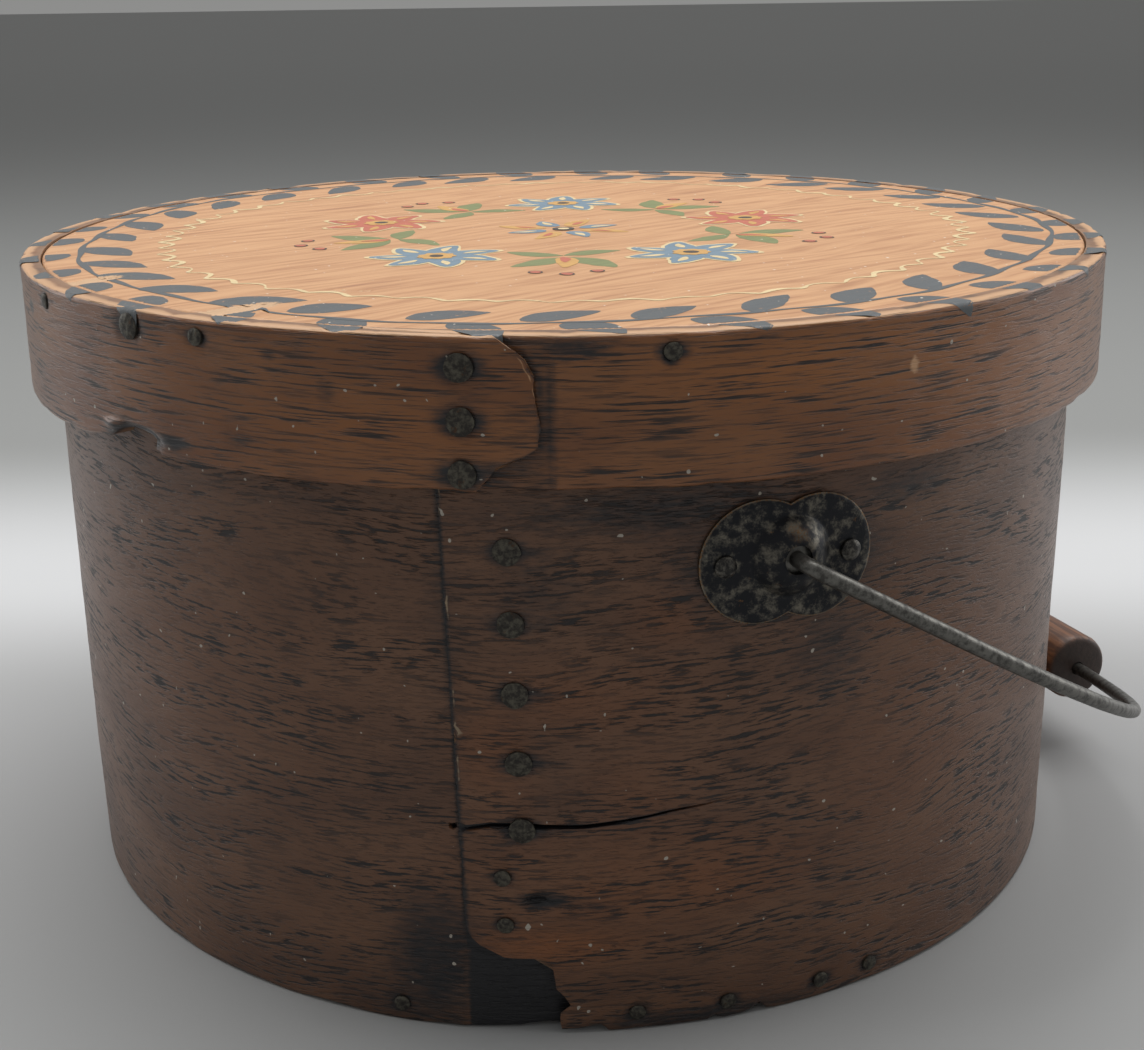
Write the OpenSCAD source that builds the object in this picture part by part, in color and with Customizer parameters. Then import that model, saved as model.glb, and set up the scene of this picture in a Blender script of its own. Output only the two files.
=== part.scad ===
// Round bentwood box with a loose lid, a wire bail and a turned wooden grip.
// Millimetres, +Z up. The origin is the centre of the underside.
// Angles round the box are counted from the front (-Y) towards +X.

/* [Body] */
// Outer diameter of the body band
body_d = 276.4; // [220:0.2:360]
// Height of the body band
body_h = 157; // [150:1:220]
// Thickness of the body band
body_t = 4.9; // [3.5:0.1:7]
// Length over which the body band laps itself
body_lap = 50; // [42:1:60]
// Height of the step where the body band's outer end lies on the band
body_step = 1.1; // [0.6:0.1:1.6]
// Angle of the body band's outer end at half height
body_seam = -10.7; // [-16:0.1:-8]
// Lean of the body seam, the top towards the left
body_lean = 1.6; // [0:0.1:3]
// Thickness of the bottom board
bottom_t = 9; // [7:0.5:14]

/* [Lid] */
// Height of the lid's rim
lid_h = 32.5; // [26:0.5:40]
// Thickness of the lid's band
lid_t = 5.2; // [4:0.1:7]
// Length over which the lid's band laps itself
lid_lap = 55; // [45:1:65]
// Height of the step at the lid band's outer end
lid_step = 1.3; // [0.6:0.1:1.8]
// Angle of the lid band's outer end
lid_seam = -0.9; // [-4:0.1:2]
// Worn corners of the lid band's outer end
lid_corner = 4; // [1:0.5:6]
// Thickness of the lid's board
lid_board_t = 7.9; // [6:0.1:11]
// Play between the lid's band and the thickest place of the body
lid_fit = 0.5; // [0.4:0.1:2]

/* [Wooden joints] */
// Gap between the two layers of a lap
lap_gap = 0.3; // [0.2:0.05:0.5]
// Gap round the lid's board
lid_board_gap = 0.3; // [0.2:0.05:0.8]
// Gap round the bottom board
bottom_gap = 0.2; // [0.1:0.05:0.5]
// Gap between the body's top edge and the lid's board
seat_gap = 0.1; // [0.05:0.05:0.5]
// Worn bevel along the bands' outer edges
edge = 1; // [0.4:0.1:1.6]
// Clearance round nails, rivets and fixed metal
metal_gap = 0.1; // [0.05:0.05:0.2]

/* [Nails] */
// Head diameter of the large lap nails
nail_head_d = 6; // [4:0.1:7]
// Shank diameter of the large lap nails
nail_d = 2; // [1.4:0.1:2.6]
// Head diameter of the small nails
tack_head_d = 3.8; // [3:0.1:4.6]
// Shank diameter of the small nails
tack_d = 1.5; // [1:0.1:2]
// Height of a nail head
head_h = 1; // [0.6:0.1:1.4]
// Depth to which a nail head is driven in
head_sink = 0.5; // [0.2:0.1:0.9]
// Length of the clinched tips inside the body
clinch = 4; // [3:0.5:6]
// Depth of the nails in the edges of the boards
board_nail_depth = 14; // [8:1:22]
// Number of large nails, spread down the body's lap
lap_nails = 5; // [2:1:5]
// From the lid's lower edge down to the first of them
lap_nail_drop = 15; // [10:0.5:20]
// From the seam to the line of large nails
lap_nail_in = 14; // [10:0.5:18]
// Number of small nails under the large ones
lap_tacks = 2; // [1:1:3]
// Spacing of the small nails
lap_tack_pitch = 12; // [8:0.5:14]
// From the bottom board up to the lowest small nail
lap_tack_rise = 19.3; // [12:0.1:24]
// From the seam to the line of small nails
lap_tack_in = 9; // [7:0.5:14]
// Number of nails, spread down the lid's lap
lid_nails = 3; // [2:1:3]
// From the lid's top down to the first of them
lid_nail_drop = 6.5; // [4:0.1:6.6]
// From the lid's lower edge up to the last of them
lid_nail_rise = 3.7; // [3.6:0.1:6]
// From the lid's seam to its line of nails
lid_nail_in = 19; // [14:0.5:22]

/* [Ears] */
// Gap between the end of the body's lap and the front ear
ear_from_lap = 3.4; // [1:0.1:20]
// From the lid's lower edge down to the ear's top
ear_drop = 6; // [3:0.5:16]
// Diameter of each of the ear's two lobes
ear_d = 28; // [25:0.5:32]
// Overall width of the ear
ear_w = 41.3; // [38:0.1:46]
// Sheet thickness of the ear
ear_t = 1; // [0.7:0.1:1.3]
// Diameter of the ear's raised boss
boss_d = 18.5; // [16.5:0.5:20]
// Height of the boss above the wood
boss_h = 6; // [5.2:0.1:7]
// Hole in the boss for the bail
ear_hole_d = 6.5; // [5:0.1:7]
// Height of the hole above the middle of the ear
ear_rise = 1; // [0:0.5:2]
// Distance between the ear's two rivets
rivet_pitch = 29.8; // [28:0.2:31]
// Rivet head diameter
rivet_head_d = 4.9; // [4:0.1:5.4]
// Height of a rivet head
rivet_head_h = 1.7; // [1.2:0.1:2.2]
// Rivet shank diameter
rivet_d = 2.8; // [2:0.1:3.2]
// Diameter of a rivet's clenched end
rivet_end_d = 4.2; // [3.8:0.1:5.4]
// Height of a rivet's clenched end
rivet_end_h = 0.8; // [0.5:0.1:1.2]
// Diameter of the burr under the rivet's clenched end
burr_d = 8; // [6:0.2:10]
// Thickness of the burr
burr_t = 0.8; // [0.6:0.1:1.2]

/* [Bail] */
// Diameter of the bail's wire
wire_d = 3.6; // [3:0.1:4.4]
// Centre-line radius of the hook behind each ear
hook_r = 4.4; // [3.4:0.1:6]
// Gap between the bail's arms and the thickest place of the lid
arm_gap = 0.9; // [0.6:0.1:6]
// Gap between the grip and the lid's edge as the bail swings over
swing_gap = 7.8; // [4:0.1:12]
// Bend of the wire at each end of the grip
kink = 15; // [8:1:20]
// Centre-line radius of that bend
kink_r = 10; // [6:0.5:16]
// Diameter of the upset head on each end of the wire
bail_head_d = 8; // [7.6:0.1:9]
// Thickness of the upset head
bail_head_t = 1.6; // [1:0.1:2]
// Gap between the upset head and the inside of the boss
head_gap = 0.3; // [0.2:0.1:0.6]

/* [Grip] */
// Diameter of the grip
grip_d = 20.7; // [16:0.1:26]
// Length of the grip
grip_l = 95; // [80:1:110]
// Rounding of the grip's ends
grip_edge = 2; // [1:0.5:4]
// Radial play of the grip on the wire
grip_play = 0.3; // [0.1:0.05:0.8]
// Room between the grip's ends and the bends in the wire
grip_end_play = 1; // [0.5:0.5:3]
// Gap between the grip and the body when the bail is down
rest_gap = 0.3; // [0.2:0.1:1]

/* [Hidden] */
$fn = 96;

// Overshoot of a cut past the face that it leaves by
past = 1;

// Body and lid
body_r = body_d / 2;
body_ri = body_r - body_t;
lid_ri = body_r + body_step + lid_fit;
lid_r = lid_ri + lid_t;
lid_board_z = body_h + seat_gap;
top_z = lid_board_z + lid_board_t;
lid_z = top_z - lid_h;

// Nails round the rim: the angles of those in front, and an even run round the back
back_nails = [for (i = [0:4]) 98 + 36 * i];
bottom_nail_angles = concat([-17, 6, 15, 25, 31], back_nails);
lid_board_nail_angles = concat([-57.5, -32.5, 8.5], back_nails);
lid_spike_angle = -41;
bottom_nail_z = bottom_t / 2;
lid_board_nail_z = lid_board_z + lid_board_t / 2;

// The broken corner of the body's outer layer, from the foot of the seam
broken_corner = [
    [-6, -past], [-6, 26], [0, 26], [10, 20.5], [18.5, 21], [19.5, 13], [21, 9], [24.5, 5], [23.5, -past],
];

// Ears and bail
ear_angle = body_seam + degrees_of(body_lap + ear_from_lap + ear_w / 2, body_r);
ear_r = body_r + metal_gap;
ear_z = lid_z - ear_drop - ear_d / 2;
hinge_z = ear_z + ear_rise;
boss_cap = boss_h - ear_t;
boss_sphere_r = (pow(boss_d / 2, 2) + pow(boss_cap, 2)) / (2 * boss_cap);
boss_inner_r = boss_sphere_r - ear_t;
boss_x = ear_r + boss_h - boss_sphere_r;
boss_foot_r = (sqrt(pow(boss_inner_r, 2) - pow(ear_r + ear_t / 2 - boss_x, 2)) + boss_d / 2) / 2;
bail_head_x = boss_x + sqrt(pow(boss_inner_r, 2) - pow(bail_head_d / 2, 2)) - head_gap - bail_head_t;
arm_x = max(lid_r + lid_step + arm_gap + wire_d / 2, ear_r + boss_h + head_gap + hook_r);
reach = norm([lid_r, top_z - hinge_z]) + swing_gap + grip_d / 2;
grip_x = grip_l / 2 + grip_end_play;
shoulder_r = (arm_x - grip_x - kink_r * sin(kink)) / (1 - sin(kink));
shoulder_y = reach - kink_r - (shoulder_r - kink_r) * cos(kink);
bend_thinning = 0.04;
bend_lap = 0.2;
kink_start = degrees_of(bend_lap / 2, kink_r);
rest_angle = acos((body_r + rest_gap + grip_d / 2) / reach);

// Degrees that an arc of the given length takes on a radius
function degrees_of(arc, r) = arc / r * 180 / PI;

// The slope of a lap's faces is an offset between two round surfaces. This is that
// offset, for a rise over a lap of the given length
function slope_offset(rise, lap, r) = rise * r / lap;

// Radius from the box's axis to a round surface of radius r, offset so that it falls
// from left to right through the angle mid
function sloped_r(r, offset, mid, a) =
    -offset * sin(a - mid) + sqrt(pow(r, 2) - pow(offset * cos(a - mid), 2));

// Outer face of a lap, at angle a
function lap_face_r(r, lap, step, seam, a) =
    let (offset = slope_offset(step, lap, r), mid = seam + degrees_of(lap, r) / 2)
    sloped_r(norm([r + step / 2, offset]), offset, mid, a);

// Angle of the body's seam at height z
function seam_angle(z) = body_seam - degrees_of((z - body_h / 2) * tan(body_lean), body_r);

// Heights of the lap nails, each counted up from the lowest of its kind
function lap_tack_z(i) = bottom_t + lap_tack_rise + i * lap_tack_pitch;
function lap_nail_z(i) =
    let (low = lap_tack_z(lap_tacks), high = lid_z - lap_nail_drop)
    low + i * (high - low) / (lap_nails - 1);
function lid_nail_z(i) =
    let (low = lid_z + lid_nail_rise, high = top_z - lid_nail_drop)
    low + i * (high - low) / (lid_nails - 1);

// Colours
oak = [0.36, 0.20, 0.11];
rim_oak = [0.50, 0.28, 0.13];
pine = [0.76, 0.47, 0.25];
board_wood = [0.45, 0.30, 0.18];
iron = [0.16, 0.15, 0.14];
tinned = [0.25, 0.22, 0.19];
grip_wood = [0.45, 0.24, 0.13];

// Turns and carries its children to angle a, radius r and height z, with +Z pointing
// out of the box and +X pointing down
module on_wall(a, r, z) {
    rotate([0, 0, a - 90]) translate([r, 0, z]) rotate([0, 90, 0]) children();
}

// A disc with both edges bevelled
module barrel(r, h, bevel) {
    rotate_extrude()
        polygon([[0, 0], [r - bevel, 0], [r, bevel], [r, h - bevel], [r - bevel, h], [0, h]]);
}

// Carries a round surface off the axis, so that it falls from left to right through
// the angle mid
module offset_from_axis(offset, mid) {
    translate([-offset * cos(mid), -offset * sin(mid), 0]) children();
}

// Front outline of a lap's outer layer, which runs right from the seam
module outer_layer(r, h, seam, lean, corner) {
    foot_x = r * sin(seam) + h / 2 * tan(lean);
    head_x = r * sin(seam) - h / 2 * tan(lean);
    rotate([90, 0, 0]) linear_extrude(2 * r)
        polygon([
            [foot_x + corner + past, -past], [foot_x, corner], [head_x, h - corner],
            [head_x + corner + past, h + past], [r / 2, h + past], [r / 2, -past],
        ]);
}

// The cut between the two layers of a lap, or all that lies outside it
module lap_cut(r, t, h, lap, seam, whole) {
    offset = slope_offset(t, lap, r);
    face_r = norm([r - t / 2, offset]);
    offset_from_axis(offset, seam + degrees_of(lap, r) / 2) translate([0, 0, -past]) difference() {
        cylinder(r = whole ? 2 * r : face_r + lap_gap / 2, h = h + 2 * past);
        cylinder(r = face_r - lap_gap / 2, h = h + 2 * past);
    }
}

// One strip bent round on itself: both ends taper, and the outer end laps the inner one
module bent_band(r, t, h, lap, step, seam, lean, corner) {
    offset = slope_offset(step, lap, r);
    difference() {
        union() {
            barrel(r, h, edge);
            intersection() {
                offset_from_axis(offset, seam + degrees_of(lap, r) / 2)
                    barrel(norm([r + step / 2, offset]), h, edge);
                outer_layer(r, h, seam, lean, corner);
            }
        }
        translate([0, 0, -past]) cylinder(r = r - t, h = h + 2 * past);
        intersection() {
            lap_cut(r, t, h, lap, seam, false);
            outer_layer(r, h, seam, lean, corner);
        }
    }
}

// A low dome, as on a nail or rivet
module dome(d, h) {
    cap = 0.7 * h;
    sphere_r = (pow(d / 2, 2) + pow(cap, 2)) / (2 * cap);
    intersection() {
        cylinder(d = d, h = h);
        translate([0, 0, h - sphere_r]) sphere(sphere_r);
    }
}

// A nail whose head sits at the origin and whose shank runs down -Z
module nail(head_d, d, length) {
    dome(head_d, head_h);
    translate([0, 0, -length]) cylinder(d = d, h = length + head_h / 2);
}

// A nail driven through the wood under its head, with the tip bent down along +X and
// laid on the far side
module clinched_nail(head_d, d) {
    tip_d = 0.9 * d;
    length = $wood + metal_gap + tip_d;
    nail(head_d, d, length);
    translate([0, 0, -length + tip_d / 2]) rotate([0, 90, 0]) cylinder(d = tip_d, h = clinch);
}

// The hole that a nail fills, with the seat of its head
module nail_hole(head_d, d, length) {
    translate([0, 0, -metal_gap]) cylinder(d = head_d + 2 * metal_gap, h = head_sink + 2 * past + metal_gap);
    translate([0, 0, -length - metal_gap]) cylinder(d = d + 2 * metal_gap, h = length + 2 * metal_gap);
}

// Places of the nails, each on the wall with its head's seat at the origin. $wood is the
// thickness of wood under the head
module on_body_lap(z, inset) {
    a = seam_angle(z) + degrees_of(inset, body_r);
    r = lap_face_r(body_r, body_lap, body_step, body_seam, a) - head_sink;
    $wood = r - body_ri;
    on_wall(a, r, z) children();
}

module at_lap_nails() {
    for (i = [0:lap_nails - 1]) on_body_lap(lap_nail_z(i), lap_nail_in) children();
}

module at_lap_tacks() {
    for (i = [0:lap_tacks - 1]) on_body_lap(lap_tack_z(i), lap_tack_in) children();
}

module at_lid_lap_nails() {
    a = lid_seam - degrees_of(lid_nail_in, lid_r);
    r = lap_face_r(lid_r, lid_lap, lid_step, -lid_seam, -a) - head_sink;
    $wood = r - lid_ri;
    for (i = [0:lid_nails - 1]) {
        $meets_board = lid_nail_z(i) > lid_board_z;
        on_wall(a, r, lid_nail_z(i)) children();
    }
}

module at_bottom_nails() {
    for (a = bottom_nail_angles) on_wall(a, body_r - head_sink, bottom_nail_z) children();
}

module at_lid_board_nails() {
    for (a = lid_board_nail_angles) on_wall(a, lid_r - head_sink, lid_board_nail_z) children();
}

module at_lid_spike() {
    on_wall(lid_spike_angle, lid_r - head_sink, lid_board_nail_z) children();
}

// Both ears, each with +X along the bail's axis
module at_ear(rear) {
    rotate([0, 0, ear_angle - 90 + (rear ? 180 : 0)]) children();
}

module at_rivets(rear) {
    at_ear(rear)
        for (side = [-1, 1])
            rotate([0, 0, side * degrees_of(rivet_pitch / 2, ear_r)]) translate([ear_r, 0, ear_z])
                rotate([0, 90, 0]) children();
}

module body_band() {
    color(oak) difference() {
        bent_band(body_r, body_t, body_h, body_lap, body_step, body_seam, body_lean, 0);
        intersection() {
            lap_cut(body_r, body_t, body_h, body_lap, body_seam, true);
            translate([body_r * sin(body_seam) + body_h / 2 * tan(body_lean), 0, 0])
                rotate([90, 0, 0]) linear_extrude(body_d) polygon(broken_corner);
        }
        at_lap_nails() nail_hole(nail_head_d, nail_d, 3 * body_t);
        at_lap_tacks() nail_hole(tack_head_d, tack_d, 3 * body_t);
        at_bottom_nails() nail_hole(tack_head_d, tack_d, board_nail_depth);
        for (rear = [false, true])
            at_rivets(rear) translate([0, 0, -3 * body_t]) cylinder(d = rivet_d + 2 * metal_gap, h = 4 * body_t);
    }
}

module bottom_board() {
    color(board_wood) difference() {
        cylinder(r = body_ri - bottom_gap, h = bottom_t);
        at_bottom_nails() nail_hole(tack_head_d, tack_d, board_nail_depth);
    }
}

module lap_nails_large() {
    color(iron) at_lap_nails() clinched_nail(nail_head_d, nail_d);
}

module lap_nails_small() {
    color(iron) at_lap_tacks() clinched_nail(tack_head_d, tack_d);
}

module bottom_nails() {
    color(iron) at_bottom_nails() nail(tack_head_d, tack_d, board_nail_depth);
}

// The ear's flat: two lobes bent to the body, open under the boss and at the rivets
module ear_plate() {
    difference() {
        intersection() {
            difference() {
                translate([0, 0, ear_z - ear_d]) cylinder(r = ear_r + ear_t, h = 2 * ear_d);
                translate([0, 0, ear_z - ear_d - past]) cylinder(r = ear_r, h = 2 * ear_d + 2 * past);
            }
            for (side = [-1, 1])
                translate([0, side * (ear_w - ear_d) / 2, ear_z]) rotate([0, 90, 0]) cylinder(d = ear_d, h = body_d);
        }
        translate([0, 0, hinge_z]) rotate([0, 90, 0]) cylinder(r = boss_foot_r, h = body_d);
        for (side = [-1, 1])
            rotate([0, 0, side * degrees_of(rivet_pitch / 2, ear_r)])
                translate([body_ri, 0, ear_z]) rotate([0, 90, 0])
                    cylinder(d = rivet_d + 2 * metal_gap, h = 2 * body_t);
    }
}

// The ear's hollow round boss, with the hole for the bail through its crown
module ear_boss() {
    foot = ear_r + ear_t / 2 - boss_x;
    translate([boss_x, 0, hinge_z]) rotate([0, 90, 0]) rotate_extrude() intersection() {
        difference() {
            circle(boss_sphere_r);
            circle(boss_inner_r);
        }
        translate([ear_hole_d / 2, foot]) square(boss_sphere_r);
    }
}

module ear(rear) {
    color(tinned) at_ear(rear) {
        ear_plate();
        ear_boss();
    }
}

module front_ear() {
    ear(false);
}

module rear_ear() {
    ear(true);
}

// Round-headed rivets through ear, wall and burr, with the inner end hammered over
module ear_rivets() {
    wall = ear_r - body_ri;
    end = wall + 2 * metal_gap + burr_t;
    color(iron) for (rear = [false, true])
        at_rivets(rear) {
            translate([0, 0, ear_t + metal_gap]) dome(rivet_head_d, rivet_head_h);
            translate([0, 0, -end - metal_gap]) cylinder(d = rivet_d, h = end + ear_t + 3 * metal_gap);
            translate([0, 0, -end - metal_gap - rivet_end_h]) cylinder(d = rivet_end_d, h = rivet_end_h);
        }
}

module rivet_burrs() {
    color(tinned) for (rear = [false, true])
        at_rivets(rear) translate([0, 0, -(ear_r - body_ri) - 2 * metal_gap - burr_t]) difference() {
            cylinder(d = burr_d, h = burr_t);
            translate([0, 0, -past]) cylinder(d = rivet_d + 2 * metal_gap, h = burr_t + 2 * past);
        }
}

// The lid's band laps the other way round from the body's
module lid_band() {
    color(rim_oak) difference() {
        translate([0, 0, lid_z]) mirror([1, 0, 0])
            bent_band(lid_r, lid_t, lid_h, lid_lap, lid_step, -lid_seam, 0, lid_corner);
        at_lid_lap_nails() nail_hole(nail_head_d, nail_d, board_nail_depth);
        at_lid_board_nails() nail_hole(tack_head_d, tack_d, board_nail_depth);
        at_lid_spike() nail_hole(nail_head_d, nail_d, board_nail_depth);
    }
}

module lid_board() {
    color(pine) difference() {
        translate([0, 0, lid_board_z]) cylinder(r = lid_ri - lid_board_gap, h = lid_board_t);
        at_lid_lap_nails() nail_hole(nail_head_d, nail_d, board_nail_depth);
        at_lid_board_nails() nail_hole(tack_head_d, tack_d, board_nail_depth);
        at_lid_spike() nail_hole(nail_head_d, nail_d, board_nail_depth);
    }
}

// A nail at the height of the board runs on into it; the others end flush inside the rim
module lid_lap_nails() {
    color(iron) at_lid_lap_nails()
        nail(nail_head_d, nail_d, $meets_board ? board_nail_depth : $wood - metal_gap);
}

module lid_board_nails() {
    color(iron) at_lid_board_nails() nail(tack_head_d, tack_d, board_nail_depth);
}

module lid_spike() {
    color(iron) at_lid_spike() nail(nail_head_d, nail_d, board_nail_depth);
}

// Carries the bail's own plane, X along the hinge and Y towards the grip, to rest
module at_bail() {
    translate([0, 0, hinge_z]) rotate([0, 0, ear_angle - 90]) rotate([-rest_angle, 0, 0]) children();
}

// A bend in the wire, which is drawn slightly thinner there
module wire_bend(x, y, r, start, turn) {
    translate([x, y, 0]) rotate([0, 0, start]) rotate_extrude(angle = turn)
        translate([r, 0]) circle(d = wire_d - bend_thinning);
}

// Half of the bail, from the upset head in the ear to the grip. The straight lengths lap
// the ends of the bends
module half_bail() {
    stem = arm_x - hook_r - bail_head_x - bail_head_t / 2;
    translate([bail_head_x, 0, 0]) rotate([0, 90, 0]) cylinder(d = bail_head_d, h = bail_head_t);
    translate([bail_head_x + bail_head_t / 2, 0, 0]) rotate([0, 90, 0]) cylinder(d = wire_d, h = stem + bend_lap);
    wire_bend(arm_x - hook_r, hook_r, hook_r, -90, 90);
    translate([arm_x, hook_r - bend_lap, 0]) rotate([-90, 0, 0])
        cylinder(d = wire_d, h = shoulder_y - hook_r + 2 * bend_lap);
    wire_bend(arm_x - shoulder_r, shoulder_y, shoulder_r, 0, 90 - kink);
    translate([arm_x - shoulder_r, shoulder_y, 0]) rotate([0, 0, 90 - kink])
        translate([shoulder_r, -bend_lap, 0]) rotate([-90, 0, 0]) cylinder(d = wire_d, h = 2.5 * bend_lap);
    wire_bend(grip_x, reach - kink_r, kink_r, 90 - kink + kink_start, kink - kink_start);
}

module bail_wire() {
    color(iron) at_bail() {
        half_bail();
        mirror([1, 0, 0]) half_bail();
        translate([-grip_x - bend_lap, reach, 0]) rotate([0, 90, 0])
            cylinder(d = wire_d, h = 2 * (grip_x + bend_lap));
    }
}

module grip() {
    r = grip_d / 2;
    bore_r = wire_d / 2 + grip_play;
    color(grip_wood) at_bail()
        translate([-grip_l / 2, reach, 0]) rotate([0, 90, 0]) rotate_extrude()
            polygon([
                [bore_r, 0], [r - grip_edge, 0], [r - 0.3 * grip_edge, 0.3 * grip_edge], [r, grip_edge],
                [r, grip_l - grip_edge], [r - 0.3 * grip_edge, grip_l - 0.3 * grip_edge],
                [r - grip_edge, grip_l], [bore_r, grip_l],
            ]);
}

body_band();
bottom_board();
lap_nails_large();
lap_nails_small();
bottom_nails();
front_ear();
rear_ear();
ear_rivets();
rivet_burrs();
lid_band();
lid_board();
lid_lap_nails();
lid_board_nails();
lid_spike();
bail_wire();
grip();
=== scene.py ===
"""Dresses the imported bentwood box: laid wood, nails, ears, bail, grip and painted lid."""

import logging
import math
from dataclasses import dataclass, field
from enum import Enum
from typing import Iterable, Sequence, Union

import bmesh
import bpy
import numpy as np
from mathutils import Matrix, Vector


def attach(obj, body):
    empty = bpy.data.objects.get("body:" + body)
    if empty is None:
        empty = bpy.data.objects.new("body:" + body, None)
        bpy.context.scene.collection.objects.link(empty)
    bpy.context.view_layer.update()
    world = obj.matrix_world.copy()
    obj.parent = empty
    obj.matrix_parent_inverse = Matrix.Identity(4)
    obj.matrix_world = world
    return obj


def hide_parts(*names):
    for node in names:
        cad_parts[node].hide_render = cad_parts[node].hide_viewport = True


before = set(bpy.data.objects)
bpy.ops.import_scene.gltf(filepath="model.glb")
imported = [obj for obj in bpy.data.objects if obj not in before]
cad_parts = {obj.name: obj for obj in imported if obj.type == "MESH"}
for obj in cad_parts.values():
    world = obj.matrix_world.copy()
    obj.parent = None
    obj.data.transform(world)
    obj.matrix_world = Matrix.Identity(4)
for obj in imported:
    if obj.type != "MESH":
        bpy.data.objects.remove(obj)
log = logging.getLogger("bentwood_box")

MM = 0.001
Array = np.ndarray
Colour = tuple[float, float, float]


class Body(str, Enum):
    """The CAD bodies that pieces ride on."""

    BOX = "box"
    LID = "lid"
    BAIL = "bail"
    HANDLE = "handle"


def fade(x: Array, low: float, high: float) -> Array:
    """Rises smoothly from 0 at low to 1 at high."""
    t = np.clip((np.asarray(x, float) - low) / (high - low), 0.0, 1.0)
    return t * t * (3.0 - 2.0 * t)


def wrapped(arc: Array, radius: float) -> Array:
    """Arc length measured from the front, the shorter way round."""
    turn = 2.0 * math.pi * radius
    return (arc + turn / 2.0) % turn - turn / 2.0


@dataclass(frozen=True)
class Unevenness:
    """Smooth random height over a surface, the same each run."""

    size: float
    height: float
    seed: int

    def at(self, x: Array, y: Array) -> Array:
        """Height at each place, from -height to height."""
        grid = np.random.default_rng(self.seed).uniform(-1.0, 1.0, (61, 61))
        fx, fy = np.asarray(x, float) / self.size, np.asarray(y, float) / self.size
        ix, iy = np.floor(fx).astype(int), np.floor(fy).astype(int)
        tx, ty = fade(fx - ix, 0, 1), fade(fy - iy, 0, 1)
        low = grid[ix % 61, iy % 61] * (1 - tx) + grid[(ix + 1) % 61, iy % 61] * tx
        high = grid[ix % 61, (iy + 1) % 61] * (1 - tx) + grid[(ix + 1) % 61, (iy + 1) % 61] * tx
        return self.height * (low * (1 - ty) + high * ty)


@dataclass(frozen=True)
class Blot:
    """A soft oval mark on a surface: its middle, half widths and strength."""

    x: float
    y: float
    wide: float
    tall: float
    strength: float = 1.0

    def at(self, x: Array, y: Array) -> Array:
        """Strength of the mark at each place."""
        return self.strength * np.exp(-(((x - self.x) / self.wide) ** 2) - ((y - self.y) / self.tall) ** 2)


def blotted(blots: Iterable[Blot], x: Array, y: Array) -> Array:
    """The strongest of several marks at each place."""
    total = np.zeros(np.broadcast(x, y).shape)
    for blot in blots:
        total = np.maximum(total, blot.at(x, y))
    return total


# Shader building


class Value:
    """A material socket with arithmetic: an expression on it adds its Math nodes."""

    def __init__(self, shader: "Shader", socket: bpy.types.NodeSocket) -> None:
        """Wraps a socket of one shader."""
        self.shader = shader
        self.socket = socket

    def __add__(self, other: "Number") -> "Value":
        """Sum."""
        return self.shader.math("ADD", self, other)

    def __sub__(self, other: "Number") -> "Value":
        """Difference."""
        return self.shader.math("SUBTRACT", self, other)

    def __rsub__(self, other: "Number") -> "Value":
        """Reflected difference."""
        return self.shader.math("SUBTRACT", other, self)

    def __mul__(self, other: "Number") -> "Value":
        """Product."""
        return self.shader.math("MULTIPLY", self, other)

    def __truediv__(self, other: "Number") -> "Value":
        """Quotient."""
        return self.shader.math("DIVIDE", self, other)

    def __abs__(self) -> "Value":
        """Absolute value."""
        return self.shader.math("ABSOLUTE", self)

    __radd__ = __add__
    __rmul__ = __mul__


Number = Union[Value, float]


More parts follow.
